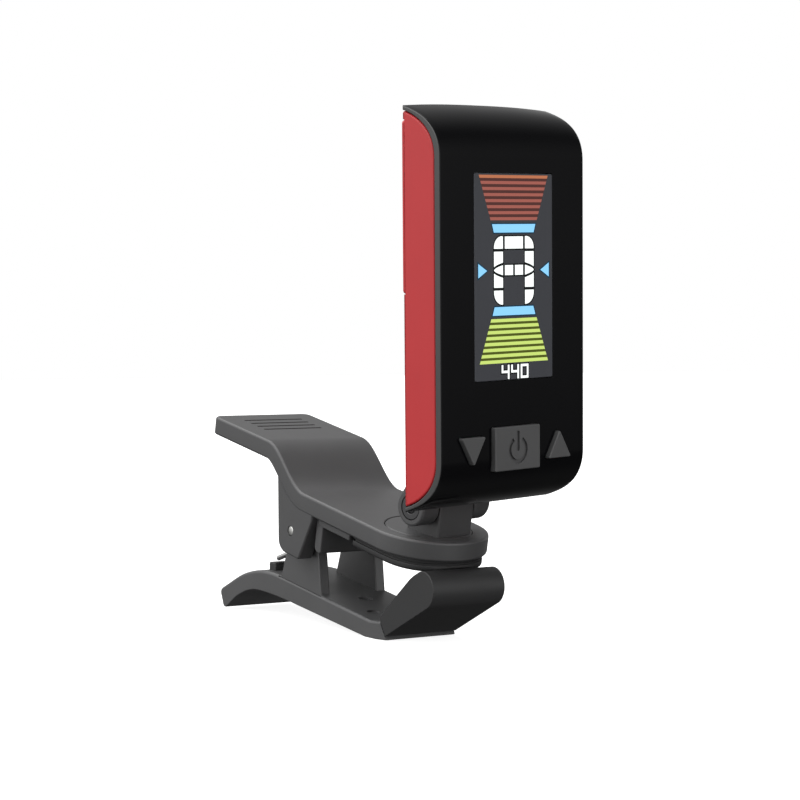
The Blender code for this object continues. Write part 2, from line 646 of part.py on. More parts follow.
def hinge_bracket(parent):
    base = box("hinge_bracket", (-7.2, GAP, -5.0), (7.2, 0.62, 5.0), HEAD, black_plastic(), parent)
    radius = LINK_TOP_RADIUS
    lug = arc((HEAD_STANDOFF, 0), radius, -100, 100, 14) + [(0.3, 2.6), (0.3, -2.6)]
    for side, name in ((-1, "left"), (1, "right")):
        low, high = sorted((side * (BLOCK_HALF + GAP), side * LINK_HALF))
        join(base, extrusion("bracket_lug_" + name, lug, low, high, HEAD))
    cut(base, cylinder("bracket_bore", HINGE_PIN_RADIUS + FIT, -9, 9, (HEAD_STANDOFF, 0), HEAD, sides=24))
    for number, (x, z) in enumerate(BRACKET_SCREWS):
        cut(base, cylinder(f"bracket_hole_{number}", 0.62, -2, 2, (x, z), HEAD, "Y", 16))
    return base


def coin_cell(parent):
    cell = cylinder("coin_cell", CELL_RADIUS, -0.95 - CELL_THICK, -0.95, (0, CELL_Z), HEAD, "Y", 48,
                    steel(), parent)
    ring = cylinder("cell_step", CELL_RADIUS + 2, -5.5, -0.95 - CELL_THICK + 0.6, (0, CELL_Z), HEAD, "Y", 48)
    cut(ring, cylinder("cell_cap", CELL_RADIUS - 1.0, -7, 0, (0, CELL_Z), HEAD, "Y", 48))
    cut(cell, ring)
    return cell


def electronics(parent):
    board = box("main_board", (-12.6, -4.9, -6.2), (12.6, -4.4, 35.6), HEAD, board_green(), parent)
    box("negative_contact", (-4.5, -4.35, CELL_Z - 2), (4.5, -4.2, CELL_Z + 2), HEAD, steel(), parent)
    box("positive_contact", (CELL_RADIUS + 0.3, -4.35, CELL_Z - 2.5), (CELL_RADIUS + 0.6, -1.8, CELL_Z + 2.5),
        HEAD, steel(), parent)
    box("tuner_chip", (-3.2, -4.35, 7.0), (3.2, -3.5, 13.4), HEAD, chip_black(), parent)
    box("clock_crystal", (5.2, -4.35, 8.6), (8.4, -3.6, 10.2), HEAD, steel(), parent)
    cylinder("piezo_sensor", 6.0, -1.55, -1.25, (0, -3.4), HEAD, "Y", 40, brass(), parent)
    box("lcd_connector", (-7.0, -6.0, 1.7), (7.0, -4.95, 2.9), HEAD, rubber(), parent)
    box("light_guide", (-8.4, -5.35, WINDOW_Z - 14.9), (8.4, -4.95, WINDOW_Z + 14.9), HEAD, diffuser(), parent)
    box("lcd_panel", (-8.4, -6.0, WINDOW_Z - 14.9), (8.4, -5.4, WINDOW_Z + 14.9), HEAD, glass(), parent)
    holder = box("display_frame", (-9.4, -6.0, WINDOW_Z - 15.8), (9.4, -4.95, WINDOW_Z + 15.8), HEAD,
                 diffuser(), parent)
    cut(holder, box("holder_mouth", (-8.6, -8, WINDOW_Z - 15.1), (8.6, -3, WINDOW_Z + 15.1), HEAD))
    for name, x in (("switch_down", -ARROW_X), ("switch_power", 0.0), ("switch_up", ARROW_X)):
        cap = box(name, (x - 1.9, -5.55, BUTTON_Z - 1.25), (x + 1.9, -4.95, BUTTON_Z + 1.3), HEAD,
                  chip_black(), parent)
        join(cap, cylinder(name + "_dome", 0.9, -5.85, -5.3, (x, BUTTON_Z), HEAD, "Y", 16))
    return board


def head(parent):
    front_cover(parent)
    display_lens(parent)
    rear_cover(parent)
    hinge_bracket(parent)
    coin_cell(parent)
    electronics(parent)
    for number, place in enumerate(CASE_SCREWS, 1):
        screw(f"case_screw_{number}", 0.55, place, screw_back(place[1]), 0.5, 3.8, parent)
    for number, place in enumerate(BRACKET_SCREWS, 1):
        screw(f"bracket_screw_{number}", 0.5, place, 1.15, 0.45, 3.2, parent)
    down = add_axis("button_down_axis", frame(HEAD, (-ARROW_X, -HEAD_DEPTH, BUTTON_Z)), parent)
    button("button_down", arrow(-1, -1), down)
    power = add_axis("button_power_axis", frame(HEAD, (0, -HEAD_DEPTH, BUTTON_Z)), parent)
    button("button_power", rounded(POWER_HALF_X, POWER_HALF_Z, 0.45, (0, BUTTON_Z)), power)
    up = add_axis("button_up_axis", frame(HEAD, (ARROW_X, -HEAD_DEPTH, BUTTON_Z)), parent)
    button("button_up", arrow(1, 1), up)
    battery_door(add_axis("battery_door_axis", frame(HEAD, (0, 0, CELL_Z)), parent))


def main():
    lower_jaw()
    jaw_boot()
    spring_seat()
    pivot = add_axis("clip_pivot_axis", PIVOT)
    upper_lever(pivot)
    jaw_pad(pivot)
    pivot_pin(pivot)
    torsion_spring(pivot)
    swivel = add_axis("swivel_axis", SWIVEL, pivot)
    swivel_base(swivel)
    swivel_washer(swivel)
    swivel_screw(swivel)
    lower = add_axis("lower_tilt_axis", LINK, swivel)
    link_arm(lower)
    hinge_pin("lower_hinge_pin", LINK, lower, LINK_HALF - 0.15)
    retaining_clip("clip_left", -1, lower)
    retaining_clip("clip_right", 1, lower)
    upper = add_axis("upper_tilt_axis", UPPER, lower)
    hinge_pin("upper_hinge_pin", UPPER, upper, LINK_HALF)
    head(upper)


clear_scene()
scene_parts = new_collection("clip_on_tuner")
cutters = new_collection("cutters")
axis_place = {}
main()
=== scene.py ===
"""Looks of the clip-on tuner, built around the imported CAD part.

Sizes and places are in millimetres in the frames below; MM turns them into Blender's metres.
"""

import math

import bmesh
import bpy
from mathutils import Matrix, Vector


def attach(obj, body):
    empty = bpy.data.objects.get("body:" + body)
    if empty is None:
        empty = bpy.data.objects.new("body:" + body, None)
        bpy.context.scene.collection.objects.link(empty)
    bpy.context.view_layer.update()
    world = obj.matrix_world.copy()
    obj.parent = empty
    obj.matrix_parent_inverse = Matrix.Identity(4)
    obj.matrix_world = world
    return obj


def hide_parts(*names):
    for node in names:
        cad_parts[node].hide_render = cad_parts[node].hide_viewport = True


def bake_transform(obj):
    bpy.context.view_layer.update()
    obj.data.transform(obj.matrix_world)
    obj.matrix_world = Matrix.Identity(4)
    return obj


MM = 0.001
GAP = 0.12              # room round a piece that moves or is let in
BORE_PLAY = 0.05        # what a bore's radius has over its pin's
THROUGH = 10            # half length of a cutter that goes right through
SHARP_ANGLE = 38        # edges sharper than this aren't shaded smooth
MOTTLE_SIZE = 6.0       # size of the slow changes of colour and gloss

# Lower jaw, with y from the nose towards the tail and z up from the table.
JAW_HALF = 6.2
PIVOT_Y, PIVOT_Z = 21.0, 14.65
LUG_OUTER, LUG_INNER, LUG_RADIUS = 5.9, 4.2, 2.7
SEAM_TOP, SEAM_FOOT, SEAM_GAP = (0.3, 3.15), (-1.3, 0.62), 0.27
TIP_CENTRE, TIP_RADIUS = (-11.15, 8.35), 2.75
BOOT_TOP_SLOPE, BOOT_FOOT_SLOPE = 30.0, 26.5
BOOT_BACK = ((-2.7, 5.72), (-5.6, 8.0), (-8.0, 9.82))
SEAT_LOW, SEAT_HIGH, SEAT_SUNK = (-4.6, 32.7, 6.5), (-1.8, 34.7, 8.55), 0.1

# Lever: flat to STEP_START behind the swivel, then up by STEP_RISE.
LEVER_Y, LEVER_Z, LEVER_PITCH = -3.65, 16.63, 10.8
LEVER_HALF, LEVER_THICK, LEVER_REAR = 8.9, 2.9, 50.6
STEP_START, STEP_END, STEP_RISE = 21.4, 32.9, 5.6
CHEEK_INNER = 6.35
PAD_RADIUS, PAD_REAR, PAD_THICK = 7.8, 8.5, 1.65
PAD_SQUARENESS, PAD_FACET = 2.5, 20.0
RAIL_INNER, RAIL_OUTER, RAIL_THICK = 6.9, 8.0, 1.15
GRIP_COUNT, GRIP_START, GRIP_PITCH, GRIP_HALF, GRIP_DEPTH = 4, 40.2, 2.1, 5.4, 0.22
PIN_RADIUS = 0.75
WIRE_RADIUS, COIL_RADIUS, COIL_HALF = 0.42, 2.1, 3.2
COIL_TURNS, COIL_START = 6.62, -62.0
LOW_LEG_END, HIGH_LEG_END = (13.0, -5.55), (4.6, 5.2)

# Swivel and link arm.
SWIVEL_TURN = 10.5
DISC_RADIUS, DISC_THICK, DISC_SUNK = 6.4, 1.0, 0.03
HUB_RADIUS, HUB_FOOT = 2.5, 1.9
BLOCK_HALF, BLOCK_FRONT, BLOCK_REAR = 3.45, 5.3, 1.1
HINGE_FORWARD, HINGE_HEIGHT = 2.6, 4.2
LINK_LEAN, LINK_LENGTH, LINK_HALF = 6.8, 14.5, 6.9
LINK_LOW_RADIUS, LINK_TOP_RADIUS = 2.75, 1.95
WEB_HALF = 1.35
HINGE_PIN_RADIUS = 0.8
CLIP_RADIUS, CLIP_THICK, CLIP_RECESS = 1.75, 0.3, 0.5

# Head, with z up from the upper hinge and depth from its back to the front.
HEAD_TILT, HEAD_STANDOFF = -16.0, 2.9
HEAD_HALF, HEAD_DEPTH = 14.65, 7.2
HEAD_FOOT, HEAD_TOP = -13.35, 42.9
END_DROP, END_SLOPE = 7.3, 0.3
SHEET, SHEET_LIP, WALL = 1.1, 0.5, 1.2
CROWN_TOP, CROWN_FOOT, CROWN_REACH = 0.42, 0.02, 5.5
WINDOW_HALF, WINDOW_TALL, WINDOW_Z = 7.95, 28.8, 19.15
LAYER = 0.004           # thickness of one printed layer on the window
BUTTON_Z, BUTTON_PROUD, BUTTON_FOOT = -4.9, 0.7, 6.25
POWER_HALF_X, POWER_HALF_Z, SIGN_DEPTH = 4.6, 3.1, 0.32
ARROW_X, ARROW_HALF, ARROW_TALL = 8.8, 2.4, 4.0
DOOR_FOOT, DOOR_TOP, DOOR_THICK, DOOR_PROUD = 17.0, 40.9, 1.05, 0.25
DOOR_LIP, DOOR_PLUG_HALF = 0.45, 12.6
CELL_Z, CELL_RADIUS = 28.0, 10.0
CASE_SCREWS = ((-11.2, -8.6), (11.2, -8.6), (-11.2, 38.2), (11.2, 38.2))
BRACKET_SCREWS = ((-5.2, 3.9), (5.2, 3.9))

# Studio. Camera and lamps are in metres. The sky has soft lobes of light: direction, narrowness, strength.
SKY = (((-1, 0.15, 0.1), 2.0, 1.1), ((0.4, 1, 0.1), 8.0, 0.4), ((-0.6, 0.2, 1), 2.0, 1.9),
       ((0.15, -1, 0.1), 5.0, 2.6), ((1, 0.3, 0.05), 6.0, 0.5), ((0.2, -0.4, -1), 6.0, 1.5))
SKY_BASE = 0.03
CAMERA_PLACE, CAMERA_LENS = (-0.19327, -0.28604, 0.04620), 105.2
CAMERA_DOWN, CAMERA_TURN = 1.833, -33.684

PROFILE = Matrix(((0, 0, 1, 0), (1, 0, 0, 0), (0, 1, 0, 0), (0, 0, 0, 1)))    # sketch x, y -> Y, Z
PLAN = Matrix.Identity(4)                                                  # sketch x, y -> X, Y
FRONT = Matrix(((1, 0, 0, 0), (0, 0, -1, 0), (0, 1, 0, 0), (0, 0, 0, 1)))    # sketch x, y -> X, Z


def placed(parent, place=(0, 0, 0), turn=0.0, axis="X"):
    return parent @ Matrix.Translation(Vector(place)) @ Matrix.Rotation(math.radians(turn), 4, axis)


WORLD = Matrix.Identity(4)
PIVOT = placed(WORLD, (0, PIVOT_Y, PIVOT_Z))
LEVER = placed(WORLD, (0, LEVER_Y, LEVER_Z), LEVER_PITCH)
SWIVEL = placed(LEVER, turn=SWIVEL_TURN, axis="Z")
LINK = placed(SWIVEL, (0, -HINGE_FORWARD, HINGE_HEIGHT), LINK_LEAN)
UPPER = placed(LINK, (0, 0, LINK_LENGTH), HEAD_TILT)
HEAD = placed(UPPER, (0, -HEAD_STANDOFF, 0))


# ---- Outlines ----

def arc(centre, radius, start, end, steps):
    """Points on an arc, with angles in degrees from the sketch's x axis."""
    points = []
    for i in range(steps + 1):
        angle = math.radians(start + (end - start) * i / steps)
        points.append((centre[0] + radius * math.cos(angle), centre[1] + radius * math.sin(angle)))
    return points


def smooth(points, steps=8):
    """A Catmull-Rom curve through the points."""
    padded = [points[0], *points, points[-1]]
    curve = []
    for a, b, c, d in zip(padded, padded[1:], padded[2:], padded[3:]):
        for i in range(steps):
            t = i / steps
            weights = (-t + 2 * t**2 - t**3, 2 - 5 * t**2 + 3 * t**3,
                       t + 4 * t**2 - 3 * t**3, -(t**2) + t**3)
            curve.append(tuple(sum(w * p[k] for w, p in zip(weights, (a, b, c, d))) / 2 for k in (0, 1)))
    return curve + [points[-1]]


def fillet(corners, radius=0.4):
    """A closed outline with its corners rounded. A corner may bring its own radius as a third number."""
    points = []
    for i, corner in enumerate(corners):
        here = Vector(corner[:2])
        own = corner[2] if len(corner) > 2 else radius
        back = Vector(corners[i - 1][:2]) - here
        ahead = Vector(corners[(i + 1) % len(corners)][:2]) - here
        turn = math.pi - back.angle(ahead)
        if own <= 0 or turn < math.radians(12):
            points.append(tuple(here))
            continue
        reach = min(own * math.tan(turn / 2), 0.48 * back.length, 0.48 * ahead.length)
        own = reach / math.tan(turn / 2)
        middle = here + (back.normalized() + ahead.normalized()).normalized() * own / math.cos(turn / 2)
        first = here + back.normalized() * reach - middle
        last = here + ahead.normalized() * reach - middle
        start = math.atan2(first.y, first.x)
        sweep = (math.atan2(last.y, last.x) - start + math.pi) % (2 * math.pi) - math.pi
        steps = max(2, round(math.degrees(turn) / 10))
        for k in range(steps + 1):
            angle = start + sweep * k / steps
            points.append((middle.x + own * math.cos(angle), middle.y + own * math.sin(angle)))
    return points


def rectangle(half_x, half_y, centre=(0, 0), radius=0.4):
    cx, cy = centre
    return fillet([(cx + half_x, cy - half_y), (cx + half_x, cy + half_y),
                   (cx - half_x, cy + half_y), (cx - half_x, cy - half_y)], radius)


def anticlockwise(outline):
    area = sum(a[0] * b[1] - b[0] * a[1] for a, b in zip(outline, outline[1:] + outline[:1]))
    return list(outline) if area > 0 else list(reversed(outline))


def inset(outline, distance):
    """The outline moved inwards, by one distance or by one for each point."""
    points = [Vector(p) for p in outline]
    distances = distance if isinstance(distance, list) else [distance] * len(points)
    moved = []
    for i, here in enumerate(points):
        before = here - points[i - 1]
        after = points[(i + 1) % len(points)] - here
        left = Vector((-before.y, before.x)).normalized()
        right = Vector((-after.y, after.x)).normalized()
        moved.append(here + (left + right) * (distances[i] / max(1 + left.dot(right), 0.5)))
    return moved


# ---- Solids ----

def solid(name, work, matrix):
    """Turns a bmesh in millimetres into an object at its place in the world."""
    bmesh.ops.recalc_face_normals(work, faces=work.faces)
    bmesh.ops.transform(work, matrix=Matrix.Scale(MM, 4) @ matrix, verts=work.verts)
    mesh = bpy.data.meshes.new(name)
    work.to_mesh(mesh)
    work.free()
    item = bpy.data.objects.new(name, mesh)
    bpy.context.scene.collection.objects.link(item)
    return item


def slab(name, outline, low, high, matrix, plane=PROFILE, rim=0.0, steps=3, spine=0, bend=None, soft=None,
         between=0):
    """A flat outline swept from low to high, with rounded rims.

    rim is one radius, or one for each end; soft gives the share of it that a sketch point gets.
    With spine, the outline is symmetric about sketch x = 0 and has that many points on its first half,
    and the caps are strips across it, so that they can bend. between is a number of extra sections.
    """
    outline = anticlockwise(outline)
    share = [soft(p) if soft else 1.0 for p in outline]
    ends = rim if isinstance(rim, tuple) else (rim, rim)
    levels = []
    for radius, level, way in ((ends[0], low, 1), (ends[1], high, -1)):
        quarter = [math.pi / 2 * k / steps for k in range(steps + 1)] if radius else [math.pi / 2]
        turns = [(radius * (1 - math.sin(q)), level, way * radius * (1 - math.cos(q))) for q in quarter]
        levels += turns if way > 0 else list(reversed(turns))
        if way > 0:
            levels += [(0.0, low + (high - low) * k / (between + 1), 0.0) for k in range(1, between + 1)]
    work = bmesh.new()
    rings = []
    for depth, level, lift in levels:
        ring = []
        for (a, b), part in zip(inset(outline, [depth * part for part in share]), share):
            place = Vector((a, b, level + lift * part))
            place = bend(place) if bend else place
            ring.append(work.verts.new((plane @ place.to_4d()).to_3d()))
        rings.append(ring)
    count = len(outline)
    for one, two in zip(rings, rings[1:]):
        for i in range(count):
            j = (i + 1) % count
            work.faces.new((one[i], one[j], two[j], two[i]))
    for ring in (rings[0], rings[-1]):
        if not spine:
            work.faces.new(ring)
            continue
        for i in range(spine - 1):
            quad = [ring[i], ring[i + 1], ring[-i - 2], ring[-i - 1]]
            work.faces.new(list(dict.fromkeys(quad)))
    return solid(name, work, matrix)


def pair(name, outline, inner, outer, matrix, **options):
    """The same slab on the left and on the right, between two distances from the middle."""
    return [slab(f"{name}_{side}", outline, low, high, matrix, **options)
            for side, low, high in (("left", -outer, -inner), ("right", inner, outer))]


def lathe(name, profile, matrix, along="Z", centre=(0, 0), sides=48):
    """A closed solid of revolution. The profile goes from the axis to the axis as (radius, height)."""
    work = bmesh.new()
    turn = {"X": Matrix.Rotation(math.pi / 2, 4, "Y"), "Y": Matrix.Rotation(-math.pi / 2, 4, "X"),
            "Z": Matrix.Identity(4)}[along]
    place = {"X": (0, *centre), "Y": (centre[0], 0, centre[1]), "Z": (*centre, 0)}[along]
    rings = []
    for radius, height in profile:
        if radius < 1e-6:
            rings.append([work.verts.new((0, 0, height))])
        else:
            rings.append([work.verts.new((radius * math.cos(2 * math.pi * i / sides),
                                          radius * math.sin(2 * math.pi * i / sides), height))
                          for i in range(sides)])
    for one, two in zip(rings, rings[1:]):
        for i in range(sides):
            j = (i + 1) % sides
            corners = [one[i % len(one)], one[j % len(one)], two[j % len(two)], two[i % len(two)]]
            work.faces.new(list(dict.fromkeys(corners)))
    return solid(name, work, matrix @ Matrix.Translation(place) @ turn)


def bore(name, pin_radius, matrix, centre):
    """The hole of a pin, as the rod that cuts it."""
    return rod(name, pin_radius + BORE_PLAY, -THROUGH, THROUGH, matrix, "X", centre, rim=0)


def rod(name, radius, low, high, matrix, along="X", centre=(0, 0), rim=0.12, sides=40):
    """A round bar whose ends have rounded rims."""
    quarter = [math.pi / 2 * k / 3 for k in range(4)] if rim else [math.pi / 2]
    foot = [(radius - rim * (1 - math.sin(q)), low + rim * (1 - math.cos(q))) for q in quarter]
    crown = [(r, low + high - h) for r, h in reversed(foot)]
    return lathe(name, [(0, low), *foot, *crown, (0, high)], matrix, along, centre, sides)


def block(name, low, high, matrix, rim=0.0):
    """A box, or one with rounded corners and rims."""
    middle = [(a + b) / 2 for a, b in zip(low, high)]
    half = [(b - a) / 2 for a, b in zip(low, high)]
    outline = rectangle(half[0], half[1], (middle[0], middle[1]), rim * 1.2)
    return slab(name, outline, low[2], high[2], matrix, PLAN, rim)


def bake(item):
    """Applies an object's modifiers."""
    seen = item.evaluated_get(bpy.context.evaluated_depsgraph_get())
    mesh = bpy.data.meshes.new_from_object(seen)
    item.modifiers.clear()
    item.data = mesh


def combine(target, others, operation):
    for other in others:
        step = target.modifiers.new("combine", "BOOLEAN")
        step.operation = operation
        step.solver = "EXACT"
        step.object = other
    bake(target)
    for other in others:
        bpy.data.objects.remove(other, do_unlink=True)
    return target


def cut(target, *others):
    return combine(target, others, "DIFFERENCE")


def fuse(target, *others):
    return combine(target, others, "UNION")


def merged(name, items):
    """Loose solids put into one mesh."""
    work = bmesh.new()
    for item in items:
        work.from_mesh(item.data)
        bpy.data.objects.remove(item, do_unlink=True)
    mesh = bpy.data.meshes.new(name)
    work.to_mesh(mesh)
    work.free()
    item = bpy.data.objects.new(name, mesh)
    bpy.context.scene.collection.objects.link(item)
    return item


def settle(item, body, paint, nodes=()):
    """Finishes a piece: shading, material, and the body it rides on."""
    item.data.shade_smooth()
    item.data.set_sharp_from_angle(angle=math.radians(SHARP_ANGLE))
    weights = item.modifiers.new("normals", "WEIGHTED_NORMAL")
    weights.keep_sharp = True
    bake(item)
    item.data.materials.clear()
    item.data.materials.append(paint)
    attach(item, body)
    if nodes:
        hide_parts(*nodes)
    return item


# ---- Materials ----

def material(name, colour, roughness, grain=0.2, relief=0.02, mottle=0.12, metallic=0.0, specular=0.5,
             glow=None):
    """Principled paint with a fine moulded grain and slow changes of colour and gloss.

    grain is the size of the texture and relief its depth, in millimetres. mottle is the share by which
    the colour changes. glow is the colour and the strength of a lit piece.
    """
    made = bpy.data.materials.new(name)
    made.use_nodes = True
    nodes, links = made.node_tree.nodes, made.node_tree.links
    shader = nodes["Principled BSDF"]
    place = nodes.new("ShaderNodeTexCoord")

    fine = nodes.new("ShaderNodeTexNoise")
    fine.inputs["Scale"].default_value = 1 / (grain * MM)
    fine.inputs["Detail"].default_value = 3
    slow = nodes.new("ShaderNodeTexNoise")
    slow.inputs["Scale"].default_value = 1 / (MOTTLE_SIZE * MM)
    slow.inputs["Detail"].default_value = 4
    for noise in (fine, slow):
        links.new(place.outputs["Object"], noise.inputs["Vector"])

    shades = nodes.new("ShaderNodeMix")
    shades.data_type = "RGBA"
    shades.inputs["A"].default_value = (*[c * (1 - mottle) for c in colour], 1)
    shades.inputs["B"].default_value = (*[min(1, c * (1 + mottle)) for c in colour], 1)
    links.new(slow.outputs["Fac"], shades.inputs["Factor"])
    links.new(shades.outputs["Result"], shader.inputs["Base Color"])

    gloss = nodes.new("ShaderNodeMapRange")
    gloss.inputs["To Min"].default_value = roughness * 0.85
    gloss.inputs["To Max"].default_value = min(1, roughness * 1.2)
    links.new(slow.outputs["Fac"], gloss.inputs["Value"])
    links.new(gloss.outputs["Result"], shader.inputs["Roughness"])

    bump = nodes.new("ShaderNodeBump")
    bump.inputs["Strength"].default_value = 1.0
    bump.inputs["Distance"].default_value = relief * MM
    links.new(fine.outputs["Fac"], bump.inputs["Height"])
    links.new(bump.outputs["Normal"], shader.inputs["Normal"])

    shader.inputs["Metallic"].default_value = metallic
    shader.inputs["Specular IOR Level"].default_value = specular
    if glow:
        shader.inputs["Emission Color"].default_value = (*glow[:3], 1)
        shader.inputs["Emission Strength"].default_value = glow[3]
    return made


def paints():
    return {
        "plastic": material("moulded_plastic", (0.048, 0.048, 0.049), 0.38, 0.16, 0.005),
        "jaw": material("jaw_plastic", (0.056, 0.056, 0.057), 0.4, 0.16, 0.005),
        "arm": material("arm_plastic", (0.048, 0.048, 0.049), 0.4, 0.14, 0.004),
        "rubber": material("boot_rubber", (0.011, 0.011, 0.0114), 0.55, 0.2, 0.008),
        "keys": material("key_rubber", (0.06, 0.06, 0.061), 0.55, 0.12, 0.006),
        "gloss": material("gloss_black", (0.0025, 0.0025, 0.003), 0.09, 1.5, 0.0006, specular=0.13),
        "edge": material("sheet_edge", (0.03, 0.03, 0.03), 0.35, 0.15, 0.004),
        "red": material("red_lacquer", (0.41, 0.025, 0.028), 0.33, 0.11, 0.004, 0.06, specular=0.3),
        "steel": material("bright_steel", (0.62, 0.62, 0.6), 0.24, 0.3, 0.002, 0.05, 1.0),
        "dark_steel": material("black_steel", (0.06, 0.06, 0.062), 0.35, 0.2, 0.003, 0.1, 0.6),
        "wire": material("spring_wire", (0.55, 0.55, 0.54), 0.28, 0.25, 0.004, 0.1, 1.0),
        "brass": material("piezo_brass", (0.75, 0.55, 0.25), 0.3, 0.4, 0.002, 0.08, 1.0),
        "board": material("solder_mask", (0.02, 0.16, 0.07), 0.35, 0.8, 0.01, 0.25),
        "chip": material("chip_epoxy", (0.02, 0.02, 0.02), 0.55, 0.1, 0.004),
        "glass": material("display_glass", (0.055, 0.057, 0.065), 0.12, 2.0, 0.0005, 0.05, specular=0.25),
        "diffuser": material("white_diffuser", (0.85, 0.87, 0.9), 0.5, 0.2, 0.004, 0.04),
    }


# ---- Clip ----

def lower_jaw(paint):
    """Plate with its hump-shaped tail and lugs, the spring's seat in dark rubber as painted shade of the
    recess behind the lugs, and the boot over the nose.
    """
    hump = smooth([(27.0, 6.65), (31.2, 7.2), (35.5, 7.2), (40.5, 6.2), (45.6, 4.12)])
    arch = smooth([(45.0, 0.8), (42.0, 2.55), (37.5, 3.9), (32.5, 3.85), (26.0, 3.15)])
    outline = [(-2.0, 2.9, 0), (0.9, 2.75), (2.9, 2.7), *hump, (48.2, 3.0, 0.9), (46.4, 0.0, 0.8), *arch,
               (4.2, 0.05), (1.2, 0.0), (-3.0, 0.2, 0)]

    def soft(point):
        middle = min(1.5 + 0.115 * point[0], 5.75 - 0.55 * (point[0] - 38))
        return 0.35 if point[1] < middle else 1.0

    jaw = slab("jaw_moulding", fillet(outline, 0.5), -JAW_HALF, JAW_HALF, WORLD, rim=0.5, steps=5, soft=soft)
    crown = arc((PIVOT_Y, PIVOT_Z), LUG_RADIUS, -5, 185, 20)
    lug = fillet([(16.75, 3.4, 0), (29.3, 5.2, 0), (27.4, 10.3), *crown, (17.5, 10.4)], 1.0)
    fuse(jaw, *pair("lug", lug, LUG_INNER, LUG_OUTER, WORLD, rim=0.22))
    ahead = [SEAM_TOP, SEAM_FOOT, (-3.7, -4.0), (-12, -4.0), (-12, 9.3), (3.0, 8.8)]
    heads = [rod(f"ejector_{i}", 1.1, 0, 3, placed(WORLD, (x, y, z), 6.5), "Z", rim=0)
             for i, (x, y, z) in enumerate(((-3.0, 6.5, 3.02), (3.0, 6.5, 3.02), (0, 13.5, 4.1)))]
    room = [a - SEAT_SUNK for a in SEAT_LOW], [a + SEAT_SUNK for a in SEAT_HIGH]
    ledge = [(16.6, 4.35), (27.0, 6.05), (29.3, 6.3), (29.3, 8.2), (26.0, 8.2), (16.6, 6.5)]
    slots = pair("lug_groove", ledge, LUG_OUTER, LUG_OUTER + 0.2, WORLD)
    cut(jaw, slab("seam_cut", ahead, -THROUGH, THROUGH, WORLD), block("seat_pocket", *room, WORLD), *slots,
        bore("lug_bore", PIN_RADIUS, WORLD, (PIVOT_Y, PIVOT_Z)), *heads)
    settle(jaw, "clip_base", paint["jaw"], ["lower_jaw"])
    # The seat gets the dark rubber paint: its darkness is painted shade, standing in for the shade in the
    # recess behind the lugs.
    seat = block("seat_block_painted_shade", SEAT_LOW, SEAT_HIGH, WORLD, 0.25)
    settle(seat, "clip_base", paint["rubber"], ["spring_seat"])

    tip = arc(TIP_CENTRE, TIP_RADIUS, 90 - BOOT_TOP_SLOPE, 270 - BOOT_FOOT_SLOPE, 28)
    fall = math.tan(math.radians(BOOT_FOOT_SLOPE))
    back = smooth([(SEAM_TOP[0] + 2, SEAM_TOP[1] - 1.7), SEAM_TOP, *BOOT_BACK, tip[0]], 4)
    outline = [*back, *tip[1:], (SEAM_FOOT[0] + 1, SEAM_FOOT[1] - fall)]
    boot = slab("nose_boot", outline, -JAW_HALF, JAW_HALF + 0.2, WORLD, rim=0.13)
    behind = [(SEAM_TOP[0] - SEAM_GAP, SEAM_TOP[1]), (SEAM_FOOT[0] - SEAM_GAP, SEAM_FOOT[1]), (-3.3, -4.0),
              (12, -4.0), (12, 9), (2.9, 8.8)]
    cut(boot, slab("boot_cut", behind, -THROUGH, THROUGH, WORLD))
    settle(boot, "clip_base", paint["rubber"], ["jaw_boot"])


def step_height(s):
    """Height of the lever's top at a distance s behind the swivel."""
    t = min(1.0, max(0.0, (s - STEP_START) / (STEP_END - STEP_START)))
    return STEP_RISE * (3 * t**2 - 2 * t**3)


def step_slope(s):
    t = min(1.0, max(0.0, (s - STEP_START) / (STEP_END - STEP_START)))
    return STEP_RISE * 6 * t * (1 - t) / (STEP_END - STEP_START)


def bent(place):
    """From the flat lever to the lever with its S-shaped step."""
    angle = math.atan(step_slope(place.y))
    return Vector((place.x, place.y - place.z * math.sin(angle),
                   step_height(place.y) + place.z * math.cos(angle)))


def stadium(radius, rear, corner, squareness=2.0):
    """A plan outline with a round front about the swivel and a square rear, and its half's point count."""
    power = 2 / squareness
    side = [(radius * abs(x) ** power, -radius * abs(y) ** power) for x, y in arc((0, 0), 1, -90, 0, 34)]
    runs = round((rear - corner) / 0.7)
    side += [(radius, (rear - corner) * i / runs) for i in range(1, runs)]
    side += arc((radius - corner, rear - corner), corner, 0, 90, 8)
    return side + [(-x, y) for x, y in reversed(side[1:])], len(side)


